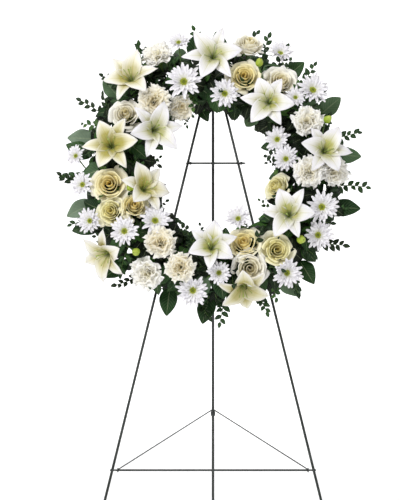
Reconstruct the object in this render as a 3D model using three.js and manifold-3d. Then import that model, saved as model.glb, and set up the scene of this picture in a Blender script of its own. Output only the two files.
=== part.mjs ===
// A funeral wreath: a ring of cut lilies, roses, daisies and carnations in wet foam, tied to a folding wire
// easel. Millimetres. +Z is up, the wreath faces -Y, and +X is to the right as seen from the front.
import * as THREE from "three";
import { mergeVertices } from "three/addons/utils/BufferGeometryUtils.js";
import Module from "manifold-3d";

const wasm = await Module();
wasm.setup();

const radians = THREE.MathUtils.degToRad;
const GAP = 0.3; // between pieces that rest on each other
const FLOWER_GAP = 0.4; // between petals and leaves that lie on each other

// The easel
const HINGE_HEIGHT = 1340; // from the floor to the hinge rod
const FRAME_LEAN = 12; // degrees that the front frame leans back
const BACK_SPLAY = 13; // degrees that the back leg slants the other way
const LEG_SPREAD = 0.234; // how far each front leg runs outwards for each unit down the frame
const LEG_X_AT_HINGE = 10.3;
const FRONT_LEG_RADIUS = 3.2;
const BACK_LEG_RADIUS = 3.6;
const BACK_EYE_RADIUS = 2.1; // of the back leg's wire where it is drawn thinner and bent round the hinge rod
const HINGE_ROD_RADIUS = 2.5;
const CROSSBAR_RADIUS = 2.4;
const BRACE_RADIUS = 1.5;
const LEG_ABOVE_HINGE = 12;
const UPPER_BAR_DROP = 228; // down the frame from the hinge
const UPPER_BAR_ENDS = { left: 4, right: 18 }; // how far the bar stands out past each leg's middle
const LOWER_BAR_DROP = 990;
const LOWER_BAR_ENDS = { left: 5, right: 5 };
const STOP_RADIUS = 6;
const STOP_LENGTH = 12;
const ROD_SIDES = 8;

// The ring: a plastic tray that holds a ring of foam
const RING_DROP = 262; // from the hinge down the frame to the middle of the ring
const RING_RADIUS = 240;
const TRAY_HALF_WIDTH = 36;
const TRAY_HEIGHT = 34;
const TRAY_WALL = 2;
const FOAM_HEIGHT = 60;
const FOAM_MIDDLE = 27; // height of the point that every stem runs towards
const STEM_STOP = 9; // how short of that point the stems end
const STEM_RADIUS = 2.2;
const STEM_SIDES = 5;
const RING_SEGMENTS = 32;
const TIE_RADIUS = 6.5;
const TIE_WIRE = 0.8;

const LEG_PLANE = -(FRONT_LEG_RADIUS + HINGE_ROD_RADIUS + GAP);
const BAR_PLANE = LEG_PLANE - (FRONT_LEG_RADIUS + CROSSBAR_RADIUS + GAP);
const TRAY_PLANE = LEG_PLANE - (FRONT_LEG_RADIUS + GAP);
const legX = (drop) => LEG_X_AT_HINGE + LEG_SPREAD * drop;

// Where each bloom stands. clock is degrees clockwise from the top of the ring, lean is degrees outwards from
// facing straight to the front, size is the bloom's radius, spin turns it on its stem, base is how far along
// the stem it sits, and nod is the share of its lean that its head turns back; the last two are given where
// they aren't the usual ones for its kind.
const LILIES = [
  { name: "lily_1", clock: 0, lean: 27, size: 74, spin: 10, nod: 1 },
  { name: "lily_2", clock: 41, lean: -23, size: 66, spin: 35, bud: { clock: 24, lean: 21, size: 9 } },
  { name: "lily_3", clock: 83, lean: 22, size: 64, spin: 20, bud: { clock: 68, lean: 34, size: 9 } },
  { name: "lily_4", clock: 125, lean: -12, size: 66, spin: 0, bud: { clock: 132, lean: 23, size: 10 } },
  { name: "lily_5", clock: 166, lean: 54, size: 66, spin: 30, base: 50, nod: 0 },
  { name: "lily_6", clock: 181, lean: -23, size: 62, spin: 25 },
  {
    name: "lily_7",
    clock: 230,
    lean: 63,
    size: 68,
    spin: 12,
    base: 84,
    nod: 0.25,
    bud: { clock: 220, lean: 25, size: 9 },
  },
  {
    name: "lily_8",
    clock: 250,
    lean: -39,
    size: 64,
    spin: 5,
    base: 80,
    nod: 0.3,
    bud: { clock: 253, lean: -17, size: 9 },
  },
  { name: "lily_9", clock: 280, lean: 7, size: 68, spin: 40 },
  { name: "lily_10", clock: 302, lean: -47, size: 70, spin: 15, base: 84 },
  { name: "lily_11", clock: 317, lean: 37, size: 68, spin: 28, base: 80 },
];
const ROSES = [
  { name: "rose_1", clock: 19, lean: -2, size: 40, spin: 0 },
  { name: "rose_2", clock: 38, lean: 24, size: 42, spin: 40 },
  { name: "rose_3", clock: 107, lean: -62, size: 31, spin: 10, base: 70 },
  { name: "rose_4", clock: 144, lean: 16, size: 39, spin: 70 },
  { name: "rose_5", clock: 159, lean: -25, size: 41, spin: 20 },
  { name: "rose_6", clock: 161, lean: 23, size: 39, spin: 55 },
  { name: "rose_7", clock: 245, lean: 24, size: 35, spin: 30 },
  { name: "rose_8", clock: 242, lean: -18, size: 34, spin: 80 },
  { name: "rose_9", clock: 259, lean: 12, size: 43, spin: 15 },
  { name: "rose_10", clock: 301, lean: 7, size: 36, spin: 65 },
  { name: "rose_11", clock: 16, lean: 57, size: 35, spin: 45, base: 86 },
];
const CARNATIONS = [
  { name: "carnation_1", clock: 65, lean: 10, size: 42, spin: 0 },
  { name: "carnation_2", clock: 95, lean: -5, size: 42, spin: 30 },
  { name: "carnation_3", clock: 93, lean: 42, size: 40, spin: 60 },
  { name: "carnation_4", clock: 197, lean: 19, size: 38, spin: 20 },
  { name: "carnation_5", clock: 211, lean: 55, size: 42, spin: 50 },
  { name: "carnation_6", clock: 213, lean: -6, size: 40, spin: 80 },
  { name: "carnation_7", clock: 318, lean: -18, size: 42, spin: 10 },
  { name: "carnation_8", clock: 333, lean: -58, size: 33, spin: 40 },
  { name: "carnation_9", clock: 334, lean: 50, size: 41, spin: 70, base: 74 },
];
const DAISY_SPRAYS = [
  {
    name: "daisy_spray_1",
    blooms: [{ clock: 341, lean: -13, size: 48 }, { clock: 345, lean: 56, size: 30, base: 106 }],
  },
  { name: "daisy_spray_2", blooms: [{ clock: 9, lean: -38, size: 40 }] },
  {
    name: "daisy_spray_3",
    blooms: [
      { clock: 52, lean: 45, size: 44, base: 96 },
      { clock: 29, lean: 80, size: 36, base: 106 },
      { clock: 50, lean: 16, size: 28 },
    ],
  },
  { name: "daisy_spray_4", blooms: [{ clock: 66, lean: -50, size: 36 }, { clock: 84, lean: -44, size: 36 }] },
  { name: "daisy_spray_5", blooms: [{ clock: 112, lean: 29, size: 43 }, { clock: 124, lean: 48, size: 40 }] },
  { name: "daisy_spray_6", blooms: [{ clock: 146, lean: 54, size: 40, base: 92 }] },
  { name: "daisy_spray_7", blooms: [{ clock: 155, lean: -58, size: 34, base: 110 }] },
  { name: "daisy_spray_8", blooms: [{ clock: 189, lean: 52, size: 42 }, { clock: 177, lean: 19, size: 32 }] },
  { name: "daisy_spray_9", blooms: [{ clock: 225, lean: -29, size: 42 }] },
  {
    name: "daisy_spray_10",
    blooms: [{ clock: 232, lean: 20, size: 39 }, { clock: 246, lean: 61, size: 34, base: 96 }],
  },
  {
    name: "daisy_spray_11",
    blooms: [{ clock: 262, lean: 54, size: 34, base: 96 }, { clock: 275, lean: 61, size: 28, base: 108 }],
  },
];

// Trails of greenery beside the ring: from and to are clock degrees, and side is 1 outside the ring and -1
// inside. Broad leaves and small-leaved sprigs stand out from the trail at the clock degrees given.
const TRAILS = [
  {
    name: "leaf_trail_1",
    from: 340,
    to: 468,
    side: 1,
    broad: [350, 365, 395, 421, 440, 467],
    sprigs: [357, 372, 383, 389, 406, 432, 456],
  },
  {
    name: "leaf_trail_2",
    from: 113,
    to: 226,
    side: 1,
    broad: [135, 149, 181, 201, 223],
    sprigs: [124, 142, 161, 174, 188, 214],
  },
  {
    name: "leaf_trail_3",
    from: 235,
    to: 337,
    side: 1,
    broad: [245, 257, 278, 288, 309],
    sprigs: [251, 263, 270, 299, 317, 326, 335],
  },
  {
    name: "leaf_trail_4",
    from: 40,
    to: 190,
    side: -1,
    broad: [66, 88, 112, 150, 172],
    sprigs: [78, 124, 186],
  },
  {
    name: "leaf_trail_5",
    from: 206,
    to: 352,
    side: -1,
    broad: [222, 262, 300, 348],
    sprigs: [238, 248, 280, 336],
  },
];
const TRAIL_HEIGHT = 15; // in front of the tray's back
const TRAIL_OFFSET = 13; // of a trail beside the tray's edge
const BROAD_LEAF = { length: 74, half: 23, stalk: 18 };
const SPRIG_LENGTH = 98;
const SPRIG_LEAF = { length: 20, half: 5.5 };
const INNER_SCALE = 0.62; // the leaves inside the ring are this much smaller

const paint = (color, roughness, metalness = 0) =>
  new THREE.MeshStandardMaterial({ color, roughness, metalness });
const MATERIALS = {
  wire: paint(0x3b3f3c, 0.45, 0.5),
  tray: paint(0x2f4a2e, 0.5),
  foam: paint(0x3f6b3a, 0.95),
  tie: paint(0x355238, 0.5, 0.4),
  lily: paint(0xf1efe2, 0.6),
  rose: paint(0xf3e7b8, 0.65),
  carnation: paint(0xf6f0e2, 0.75),
  daisy: paint(0xf4f3f2, 0.65),
  leaf: paint(0x34512d, 0.55),
};

// The geometry's own solid, for joining and cutting.
function solidOf(geometry) {
  const bare = new THREE.BufferGeometry().setAttribute("position", geometry.getAttribute("position"));
  bare.setIndex(geometry.index);
  const merged = mergeVertices(bare.index ? bare.toNonIndexed() : bare, 1e-4);
  const mesh = new wasm.Mesh({
    numProp: 3,
    vertProperties: merged.attributes.position.array,
    triVerts: new Uint32Array(merged.index.array),
  });
  return new wasm.Manifold(mesh);
}

function geometryOf(solid) {
  const mesh = solid.getMesh();
  const geometry = new THREE.BufferGeometry();
  geometry.setAttribute("position", new THREE.BufferAttribute(new Float32Array(mesh.vertProperties), 3));
  geometry.setIndex(new THREE.BufferAttribute(new Uint32Array(mesh.triVerts), 1));
  const flat = geometry.toNonIndexed();
  flat.computeVertexNormals();
  return flat;
}

const union = (solids) => wasm.Manifold.union(solids);

// A closed skin over loops of equal length, each a list of points that runs anticlockwise seen from the end.
function skin(loops) {
  const positions = [];
  const triangle = (a, b, c) => positions.push(...a.toArray(), ...b.toArray(), ...c.toArray());
  const count = loops[0].length;
  const [first, last] = [loops[0], loops[loops.length - 1]];
  for (let i = 1; i < count - 1; i++) {
    triangle(first[0], first[i + 1], first[i]);
    triangle(last[0], last[i], last[i + 1]);
  }
  for (let k = 1; k < loops.length; k++) {
    for (let i = 0; i < count; i++) {
      const [a, b] = [loops[k - 1][i], loops[k - 1][(i + 1) % count]];
      const [c, d] = [loops[k][(i + 1) % count], loops[k][i]];
      triangle(a, b, c);
      triangle(a, c, d);
    }
  }
  return new THREE.BufferGeometry().setAttribute("position", new THREE.Float32BufferAttribute(positions, 3));
}

// A flower turned about +Z: each ring is [radius, height, ripple, phase in degrees], with one ripple for each
// petal.
function turned(rings, sides, petals) {
  const loops = rings.map(([radius, height, ripple = 0, phase = 0]) =>
    Array.from({ length: sides }, (_, i) => {
      const angle = (2 * Math.PI * i) / sides;
      const r = radius * (1 + ripple * Math.cos(petals * angle + radians(phase)));
      return new THREE.Vector3(r * Math.cos(angle), r * Math.sin(angle), height);
    }),
  );
  return skin(loops);
}

// A petal or leaf that grows out along +X: each station is [out, up, half width], and it ends in a blunt tip.
function blade(stations, thickness, dish = 0.12) {
  const middle = new THREE.SplineCurve(stations.map(([out, up]) => new THREE.Vector2(out, up)));
  const loops = stations.map(([out, up, half], i) => {
    const tangent = middle.getTangent(i / (stations.length - 1));
    const [nx, nz] = [-tangent.y * thickness, tangent.x * thickness];
    const lift = dish * half;
    return [
      new THREE.Vector3(out - nx / 2, 0, up - nz / 2),
      new THREE.Vector3(out + (nx * lift) / thickness, half, up + (nz * lift) / thickness),
      new THREE.Vector3(out + nx / 2, 0, up + nz / 2),
      new THREE.Vector3(out + (nx * lift) / thickness, -half, up + (nz * lift) / thickness),
    ];
  });
  return skin(loops);
}

// A straight round rod between two points.
function rod(from, to, radius, sides = ROD_SIDES) {
  const along = new THREE.Vector3().subVectors(to, from);
  const geometry = new THREE.CylinderGeometry(radius, radius, along.length(), sides);
  const direction = along.clone().normalize();
  const turn = new THREE.Quaternion().setFromUnitVectors(new THREE.Vector3(0, 1, 0), direction);
  const middle = new THREE.Vector3().addVectors(from, to).divideScalar(2);
  return geometry.applyQuaternion(turn).translate(...middle);
}

// A bent round wire along a curve.
function bentWire(curve, radius, steps, sides = 6) {
  const section = new THREE.Shape(
    Array.from({ length: sides }, (_, i) => {
      const angle = (2 * Math.PI * i) / sides;
      return new THREE.Vector2(radius * Math.cos(angle), radius * Math.sin(angle));
    }),
  );
  return new THREE.ExtrudeGeometry(section, { steps, extrudePath: curve, bevelEnabled: false });
}

// An eye of wire whose hole runs along X.
const eye = (holeRadius, wireRadius) =>
  new THREE.TorusGeometry(holeRadius + wireRadius, wireRadius, 5, 10).rotateY(Math.PI / 2);

function addMesh(group, name, geometry, material) {
  const mesh = new THREE.Mesh(geometry, material);
  mesh.name = name;
  group.add(mesh);
  return mesh;
}

// ---- The easel ----

const assembly = new THREE.Group();
const frontFrame = new THREE.Group(); // its -Z runs down the frame and its +Y points to the back
frontFrame.rotation.x = -radians(FRAME_LEAN);
frontFrame.position.z = HINGE_HEIGHT;
assembly.add(frontFrame);
assembly.updateMatrixWorld(true);

// What is left of a leg above the floor, so that it ends in a level face.
function cutAtFloor(geometry, group) {
  group.updateMatrixWorld(true);
  const floor = new THREE.BoxGeometry(1000, 1000, 100).translate(0, 0, -50);
  floor.applyMatrix4(group.matrixWorld.clone().invert());
  return geometryOf(solidOf(geometry).subtract(solidOf(floor)));
}

function addFrontFrame() {
  const down = (HINGE_HEIGHT + 60) / Math.cos(radians(FRAME_LEAN));
  for (const [name, side] of [["left_front_leg", -1], ["right_front_leg", 1]]) {
    const top = new THREE.Vector3(side * legX(-LEG_ABOVE_HINGE), LEG_PLANE, LEG_ABOVE_HINGE);
    const foot = new THREE.Vector3(side * legX(down), LEG_PLANE, -down);
    addMesh(frontFrame, name, cutAtFloor(rod(top, foot, FRONT_LEG_RADIUS), frontFrame), MATERIALS.wire);
  }
  const bar = (name, drop, ends) => {
    const left = new THREE.Vector3(-legX(drop) - ends.left, BAR_PLANE, -drop);
    const right = new THREE.Vector3(legX(drop) + ends.right, BAR_PLANE, -drop);
    addMesh(frontFrame, name, rod(left, right, CROSSBAR_RADIUS), MATERIALS.wire);
  };
  bar("upper_crossbar", UPPER_BAR_DROP, UPPER_BAR_ENDS);
  bar("lower_crossbar", LOWER_BAR_DROP, LOWER_BAR_ENDS);
  const reach = legX(0) + 2 * FRONT_LEG_RADIUS;
  const hingeRod = rod(new THREE.Vector3(-reach, 0, 0), new THREE.Vector3(reach, 0, 0), HINGE_ROD_RADIUS);
  addMesh(frontFrame, "hinge_rod", hingeRod, MATERIALS.wire);
}

// The brace's pivot on the lower crossbar, and how far down the back leg it meets that leg squarely.
const bracePivot = frontFrame.localToWorld(new THREE.Vector3(0, BAR_PLANE, -LOWER_BAR_DROP));
const backDown = new THREE.Vector3(0, Math.sin(radians(BACK_SPLAY)), -Math.cos(radians(BACK_SPLAY)));
const hinge = new THREE.Vector3(0, 0, HINGE_HEIGHT);
const catchDrop = bracePivot.clone().sub(hinge).dot(backDown);
const catchPoint = hinge.clone().addScaledVector(backDown, catchDrop);
const braceLength = catchPoint.distanceTo(bracePivot);

function addBackLeg() {
  const group = new THREE.Group(); // its -Z runs down the back leg
  group.rotation.x = radians(BACK_SPLAY);
  group.position.copy(hinge);
  assembly.add(group);
  const loop = eye(HINGE_ROD_RADIUS + GAP, BACK_EYE_RADIUS);
  const start = new THREE.Vector3(0, 0, -(HINGE_ROD_RADIUS + GAP + BACK_EYE_RADIUS));
  const foot = new THREE.Vector3(0, 0, -(HINGE_HEIGHT + 60) / Math.cos(radians(BACK_SPLAY)));
  const leg = geometryOf(union([solidOf(rod(start, foot, BACK_LEG_RADIUS)), solidOf(loop)]));
  addMesh(group, "back_leg", cutAtFloor(leg, group), MATERIALS.wire);

  const top = -catchDrop - BRACE_RADIUS - GAP;
  const bore = BACK_LEG_RADIUS + GAP;
  const sleeve = [
    [bore, top - STOP_LENGTH],
    [STOP_RADIUS, top - STOP_LENGTH],
    [STOP_RADIUS, top],
    [bore, top],
    [bore, top - STOP_LENGTH],
  ].map(([r, z]) => new THREE.Vector2(r, z));
  const stop = new THREE.LatheGeometry(sleeve, 12).rotateX(Math.PI / 2);
  addMesh(group, "brace_stop", stop, MATERIALS.wire);
}

// One V of wire: an eye at each end turns on the lower crossbar, and its bend passes behind the back leg.
function addBrace() {
  const group = new THREE.Group(); // its +Y runs from the crossbar to the back leg
  group.rotation.x = Math.atan2(catchPoint.z - bracePivot.z, catchPoint.y - bracePivot.y);
  group.position.copy(bracePivot);
  assembly.add(group);
  const eyeX = legX(LOWER_BAR_DROP) - 14;
  const armStart = CROSSBAR_RADIUS + 0.4 + BRACE_RADIUS;
  const bend = BACK_LEG_RADIUS + 0.6 + BRACE_RADIUS;
  const half = Math.atan2(eyeX - bend, braceLength - armStart);
  const onBend = (angle) =>
    new THREE.Vector3(bend * Math.cos(angle), braceLength + bend * Math.sin(angle), 0);
  const bendPoints = Array.from({ length: 9 }, (_, i) => onBend(half + ((Math.PI - 2 * half) * i) / 8));
  const pieces = [bentWire(new THREE.CatmullRomCurve3(bendPoints), BRACE_RADIUS, 6)];
  for (const side of [-1, 1]) {
    const tangent = onBend(side > 0 ? half : Math.PI - half);
    const overlap = new THREE.Vector3(-side * Math.sin(half), Math.cos(half), 0);
    pieces.push(rod(new THREE.Vector3(side * eyeX, armStart, 0), tangent.add(overlap), BRACE_RADIUS, 6));
    pieces.push(eye(CROSSBAR_RADIUS + 0.4, BRACE_RADIUS).translate(side * eyeX, 0, 0));
  }
  addMesh(group, "brace", geometryOf(union(pieces.map(solidOf))), MATERIALS.wire);
}

// ---- The ring ----

const wreath = new THREE.Group(); // its +Z faces the front, and its origin is the middle of the tray's back
wreath.rotation.x = Math.PI / 2;
wreath.position.set(0, TRAY_PLANE, -RING_DROP);
frontFrame.add(wreath);

const onRing = (clock, radius, height) =>
  new THREE.Vector3(radius * Math.sin(radians(clock)), radius * Math.cos(radians(clock)), height);

// A ring turned about +Z from a profile of [radius, height] that closes on itself.
const turnedRing = (profile) =>
  new THREE.LatheGeometry(
    [...profile, profile[0]].map(([r, z]) => new THREE.Vector2(r, z)),
    RING_SEGMENTS,
  ).rotateX(Math.PI / 2);

function trayGeometry() {
  const [inner, outer] = [RING_RADIUS - TRAY_HALF_WIDTH, RING_RADIUS + TRAY_HALF_WIDTH];
  return turnedRing([
    [inner, 0],
    [outer, 0],
    [outer, TRAY_HEIGHT],
    [outer - TRAY_WALL, TRAY_HEIGHT],
    [outer - TRAY_WALL, TRAY_WALL],
    [inner + TRAY_WALL, TRAY_WALL],
    [inner + TRAY_WALL, TRAY_HEIGHT],
    [inner, TRAY_HEIGHT],
  ]);
}

function foamGeometry() {
  const half = TRAY_HALF_WIDTH - TRAY_WALL - GAP;
  return turnedRing([
    [RING_RADIUS - half, TRAY_WALL + GAP],
    [RING_RADIUS + half, TRAY_WALL + GAP],
    [RING_RADIUS + half, FOAM_HEIGHT - 20],
    [RING_RADIUS + half - 16, FOAM_HEIGHT],
    [RING_RADIUS - half + 16, FOAM_HEIGHT],
    [RING_RADIUS - half, FOAM_HEIGHT - 20],
  ]);
}

// Each tie goes round a leg and in through two slots in the tray's floor, under the foam.
const TIES = [
  { name: "top_tie", side: 1, end: 1 },
  { name: "lower_left_tie", side: -1, end: -1 },
  { name: "lower_right_tie", side: 1, end: -1 },
];
const TIE_ALONG = 3; // the slots' length along the leg
const TIE_SLOT = [3.6, 7.5]; // how near to the leg's middle and how far from it a slot reaches
const TIE_POCKET = 8.5; // half the width of the room under the foam that a tie's wire needs
const TIE_ROOM = 8; // how far above the tie's middle that room reaches
const TIE_CENTRE = TRAY_PLANE - LEG_PLANE + TIE_WIRE + 0.6;

// How far above the ring's middle a front leg crosses the middle of the tray: end is 1 at the top of the ring
// and -1 at the bottom.
function legCrossing(end) {
  const across = legX(RING_DROP);
  const square = 1 + LEG_SPREAD ** 2;
  const reach = Math.sqrt((across * LEG_SPREAD) ** 2 - square * (across ** 2 - RING_RADIUS ** 2));
  return (across * LEG_SPREAD + end * reach) / square;
}

function tieGroup({ side, end }) {
  const height = legCrossing(end);
  const group = new THREE.Group(); // its +X is across the leg and its +Y along it
  group.position.set(side * legX(RING_DROP - height), height, TIE_CENTRE);
  group.rotation.z = side * Math.atan(LEG_SPREAD);
  group.updateMatrix();
  return group;
}

// A box in a tie's frame, from one side to the other across the leg and from low to high.
function tieBox(group, left, right, low, high, along) {
  const box = new THREE.BoxGeometry(right - left, along, high - low);
  box.translate((left + right) / 2, 0, (low + high) / 2 - TIE_CENTRE);
  return solidOf(box.applyMatrix4(group.matrix));
}

function addRing(stemHoles) {
  const groups = TIES.map(tieGroup);
  const [near, far] = TIE_SLOT;
  const slots = groups.flatMap((group) => [
    tieBox(group, near, far, -1, TRAY_WALL + 1, TIE_ALONG),
    tieBox(group, -far, -near, -1, TRAY_WALL + 1, TIE_ALONG),
  ]);
  const pockets = groups.map((group) =>
    tieBox(group, -TIE_POCKET, TIE_POCKET, 0, TIE_CENTRE + TIE_ROOM, TIE_ALONG + 1),
  );
  addMesh(wreath, "ring_tray", geometryOf(solidOf(trayGeometry()).subtract(union(slots))), MATERIALS.tray);
  const foam = solidOf(foamGeometry()).subtract(union([...pockets, ...stemHoles]));
  addMesh(wreath, "foam_ring", geometryOf(foam), MATERIALS.foam);
  groups.forEach((group, i) => {
    const tie = new THREE.TorusGeometry(TIE_RADIUS, TIE_WIRE, 5, 14).rotateX(Math.PI / 2);
    addMesh(group, TIES[i].name, tie, MATERIALS.tie);
    wreath.add(group);
  });
}

// ---- Flowers and greenery, in the wreath's frame ----

// The frame of a stem: its origin is the middle of the foam below it, and its +Z runs out along the stem.
function stemFrame({ clock, lean }) {
  const outwards = onRing(clock, 1, 0);
  const facing = outwards.clone().multiplyScalar(Math.sin(radians(lean))).setZ(Math.cos(radians(lean)));
  const across = new THREE.Vector3(outwards.y, -outwards.x, 0);
  const along = new THREE.Vector3().crossVectors(facing, across);
  const frame = new THREE.Matrix4().makeBasis(across, along, facing);
  return frame.setPosition(onRing(clock, RING_RADIUS, FOAM_MIDDLE));
}

const alongStem = (bloom, distance) => new THREE.Vector3(0, 0, distance).applyMatrix4(stemFrame(bloom));

// The frame of a head: its origin is where it joins its stem. It nods back towards the front and is turned by
// its spin.
function headFrame(bloom, base) {
  const nod = radians((bloom.nod ?? KINDS[bloom.kind].nod) * bloom.lean);
  return stemFrame(bloom)
    .multiply(new THREE.Matrix4().makeTranslation(0, 0, base))
    .multiply(new THREE.Matrix4().makeRotationX(nod))
    .multiply(new THREE.Matrix4().makeRotationZ(radians(bloom.spin ?? 0)));
}

// Rings moved outwards by a margin: each moves along the normals of the faces on both its sides.
function swell(rings, by) {
  const normal = ([r0, z0], [r1, z1]) => {
    const length = Math.hypot(r1 - r0, z1 - z0);
    return [(z1 - z0) / length, (r0 - r1) / length];
  };
  return rings.map((ring, i) => {
    const below = i ? normal(rings[i - 1], ring) : [0, -1];
    const above = rings[i + 1] ? normal(ring, rings[i + 1]) : [0, 1];
    return [ring[0] + by * (below[0] + above[0]), ring[1] + by * (below[1] + above[1]), ...ring.slice(2)];
  });
}

// Each head is a list of closed shapes in the head's frame. grow is the margin that a cutter has.
function roseHead(size, grow) {
  const rings = [
    [size * 0.15, 0],
    [size * 0.7, 12, 0.05],
    [size, 33, 0.08, 20],
    [size * 0.7, 31, 0.05, 90],
    [size * 0.6, 43, 0.07, 150],
    [size * 0.22, 45, 0.1, 250],
  ];
  return [turned(swell(rings, grow), 10, 5)];
}

function carnationHead(size, grow) {
  const rings = [
    [size * 0.2, 0],
    [size * 0.4, 15],
    [size * 0.97, 26, 0.1, 30],
    [size * 0.85, 38, 0.12, 200],
    [size * 0.4, 45, 0.12, 90],
  ];
  return [turned(swell(rings, grow), 10, 5)];
}

function daisyHead(size, grow) {
  const rings = [
    [size * 0.14, 0],
    [size * 0.88, 12, 0.14],
    [size * 0.88, 16, 0.14],
    [size * 0.2, 18],
  ];
  return [turned(swell(rings, grow), 16, 8)];
}

function budHead(size, grow) {
  const rings = [
    [size * 0.25, 0],
    [size, 1.5 * size],
    [size * 0.25, 3.2 * size],
  ];
  return [turned(swell(rings, grow), 6, 3)];
}

function lilyHead(size, grow) {
  const throat = turned(swell([[3, 0], [6, 10], [10, 24]], grow), 6, 3);
  const tepals = Array.from({ length: 6 }, (_, i) => {
    const wide = i % 2 ? 0.85 : 1.1;
    const stations = [
      [3, 8, 3 + 5 * grow],
      [0.3 * size, 32, 12 * wide + 5 * grow],
      [0.66 * size, 47, 19 * wide + 5 * grow],
      [size + grow, 44, 1.5 + 5 * grow],
    ];
    return blade(stations, 3 + 2 * grow).rotateZ(radians(60 * i));
  });
  return [throat, ...tepals];
}

// base is how far along its stem a head usually sits, and nod is the share of its stem's lean that it turns
// back towards the front.
const KINDS = {
  lily: { head: lilyHead, base: 74, nod: 0.55, material: MATERIALS.lily },
  rose: { head: roseHead, base: 60, nod: 0.35, material: MATERIALS.rose },
  carnation: { head: carnationHead, base: 60, nod: 0.4, material: MATERIALS.carnation },
  daisy: { head: daisyHead, base: 84, nod: 0.65, material: MATERIALS.daisy },
  bud: { head: budHead, base: 96, nod: 0, material: MATERIALS.leaf },
};
const FORK = 52; // how far from the foam's middle a side stem leaves its main stem

// The stem and head of a bloom, grown by a margin where it serves as a cutter. A side bloom forks off a main
// one.
function bloomSolids(bloom, grow, main) {
  const { head, base: usual } = KINDS[bloom.kind];
  const base = bloom.base ?? usual;
  const from = main ? alongStem(main, FORK) : alongStem(bloom, STEM_STOP);
  const stem = rod(from, alongStem(bloom, base + 2), STEM_RADIUS + grow, STEM_SIDES);
  const shapes = head(bloom.size, grow).map((shape) => shape.applyMatrix4(headFrame(bloom, base)));
  return [stem, ...shapes].map(solidOf);
}

function flowerSolid({ blooms }, grow = 0) {
  const [main, ...others] = blooms;
  return union([bloomSolids(main, grow), ...others.map((other) => bloomSolids(other, grow, main))].flat());
}

// A pointed leaf along +X, on a stalk where it has one.
function leaf({ length, half, stalk }) {
  const start = stalk ? [[0, 0, 1.5], [stalk, 1, 1.5]] : [[0, 0, 1.5]];
  const from = stalk ?? 0;
  return blade([...start, [from + length * 0.45, 3, half], [from + length, 0, 1]], 2.4, 0.2);
}

// A sprig along +X: a thin stalk with a leaf at its tip and one on each side.
function sprig() {
  const tip = SPRIG_LENGTH - SPRIG_LEAF.length;
  const shapes = [rod(new THREE.Vector3(-2, 0, 0), new THREE.Vector3(tip + 3, 0, 0), 1.3, 4)];
  shapes.push(leaf(SPRIG_LEAF).translate(tip, 0, 0));
  for (const [out, turn] of [[0.36, 52], [0.6, -50]]) {
    shapes.push(leaf(SPRIG_LEAF).rotateZ(radians(turn)).translate(out * SPRIG_LENGTH, 0, 0));
  }
  return shapes;
}

// Where a trail leaves the foam.
const trailRoot = ({ from, side }) => ({ clock: from, lean: side * 55 });

// A trail of greenery that leaves the foam over the tray's edge and then follows the ring beside it.
function trailSolid({ from, to, side, broad, sprigs }) {
  const root = trailRoot({ from, side });
  const beside = RING_RADIUS + side * (TRAY_HALF_WIDTH + TRAIL_OFFSET);
  const steps = Math.round((to - from) / 14);
  const clockAt = (i) => from + 8 + ((to - from - 8) * i) / steps;
  const route = Array.from({ length: steps + 1 }, (_, i) => onRing(clockAt(i), beside, TRAIL_HEIGHT));
  const curve = new THREE.CatmullRomCurve3([alongStem(root, 48), onRing(from + 3, beside, 38), ...route]);
  const parts = [rod(alongStem(root, STEM_STOP), alongStem(root, 49), STEM_RADIUS, STEM_SIDES)];
  parts.push(bentWire(curve, STEM_RADIUS, steps + 5, STEM_SIDES));
  const standOut = (shape, clock, swing, rise) => {
    const frame = new THREE.Matrix4().setPosition(onRing(clock, beside, TRAIL_HEIGHT));
    frame.multiply(new THREE.Matrix4().makeRotationZ(radians(90 - clock + swing) + (side < 0 ? Math.PI : 0)));
    frame.multiply(new THREE.Matrix4().makeRotationY(-radians(rise)));
    const scale = side < 0 ? INNER_SCALE : 1;
    parts.push(shape.scale(scale, scale, 1).applyMatrix4(frame));
  };
  broad.forEach((clock, i) => standOut(leaf(BROAD_LEAF), clock, i % 2 ? 14 : -12, 10));
  sprigs.forEach((clock, i) => sprig().forEach((shape) => standOut(shape, clock, i % 2 ? -10 : 12, 18)));
  return union(parts.map(solidOf));
}

// What is left of a piece beside those that stand before it, still in one body with its own root.
function fitted(solid, before, root) {
  const rest = before.length ? solid.subtract(union(before)) : solid;
  const distance = (body) => {
    const { min, max } = body.boundingBox();
    const box = new THREE.Box3(new THREE.Vector3(...min), new THREE.Vector3(...max));
    return box.distanceToPoint(root) - body.volume() * 1e-9;
  };
  const [nearest] = rest.simplify(0.2).decompose().sort((a, b) => distance(a) - distance(b));
  return nearest;
}

// A piece in the wreath's frame becomes a mesh that stands at its own frame.
function addGrown(name, solid, frame, material) {
  const geometry = geometryOf(solid).applyMatrix4(frame.clone().invert());
  addMesh(wreath, name, geometry, material).applyMatrix4(frame);
}

const flower = (kind) => ({ name, bud, blooms, ...bloom }) => {
  const buds = bud ? [{ kind: "bud", ...bud }] : [];
  return { name, kind, blooms: blooms?.map((one) => ({ kind, ...one })) ?? [{ kind, ...bloom }, ...buds] };
};
const FLOWERS = [
  ...LILIES.map(flower("lily")),
  ...ROSES.map(flower("rose")),
  ...CARNATIONS.map(flower("carnation")),
  ...DAISY_SPRAYS.map(flower("daisy")),
];

function addFlowersAndGreenery() {
  const cutters = [];
  for (const { name, kind, blooms } of FLOWERS) {
    const main = blooms[0];
    const solid = fitted(flowerSolid({ blooms }), cutters, alongStem(main, STEM_STOP));
    addGrown(name, solid, stemFrame(main), KINDS[kind].material);
    cutters.push(flowerSolid({ blooms }, FLOWER_GAP));
  }
  for (const trail of TRAILS) {
    const root = trailRoot(trail);
    const solid = fitted(trailSolid(trail), cutters, alongStem(root, STEM_STOP));
    addGrown(trail.name, solid, stemFrame(root), MATERIALS.leaf);
  }
}

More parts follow.
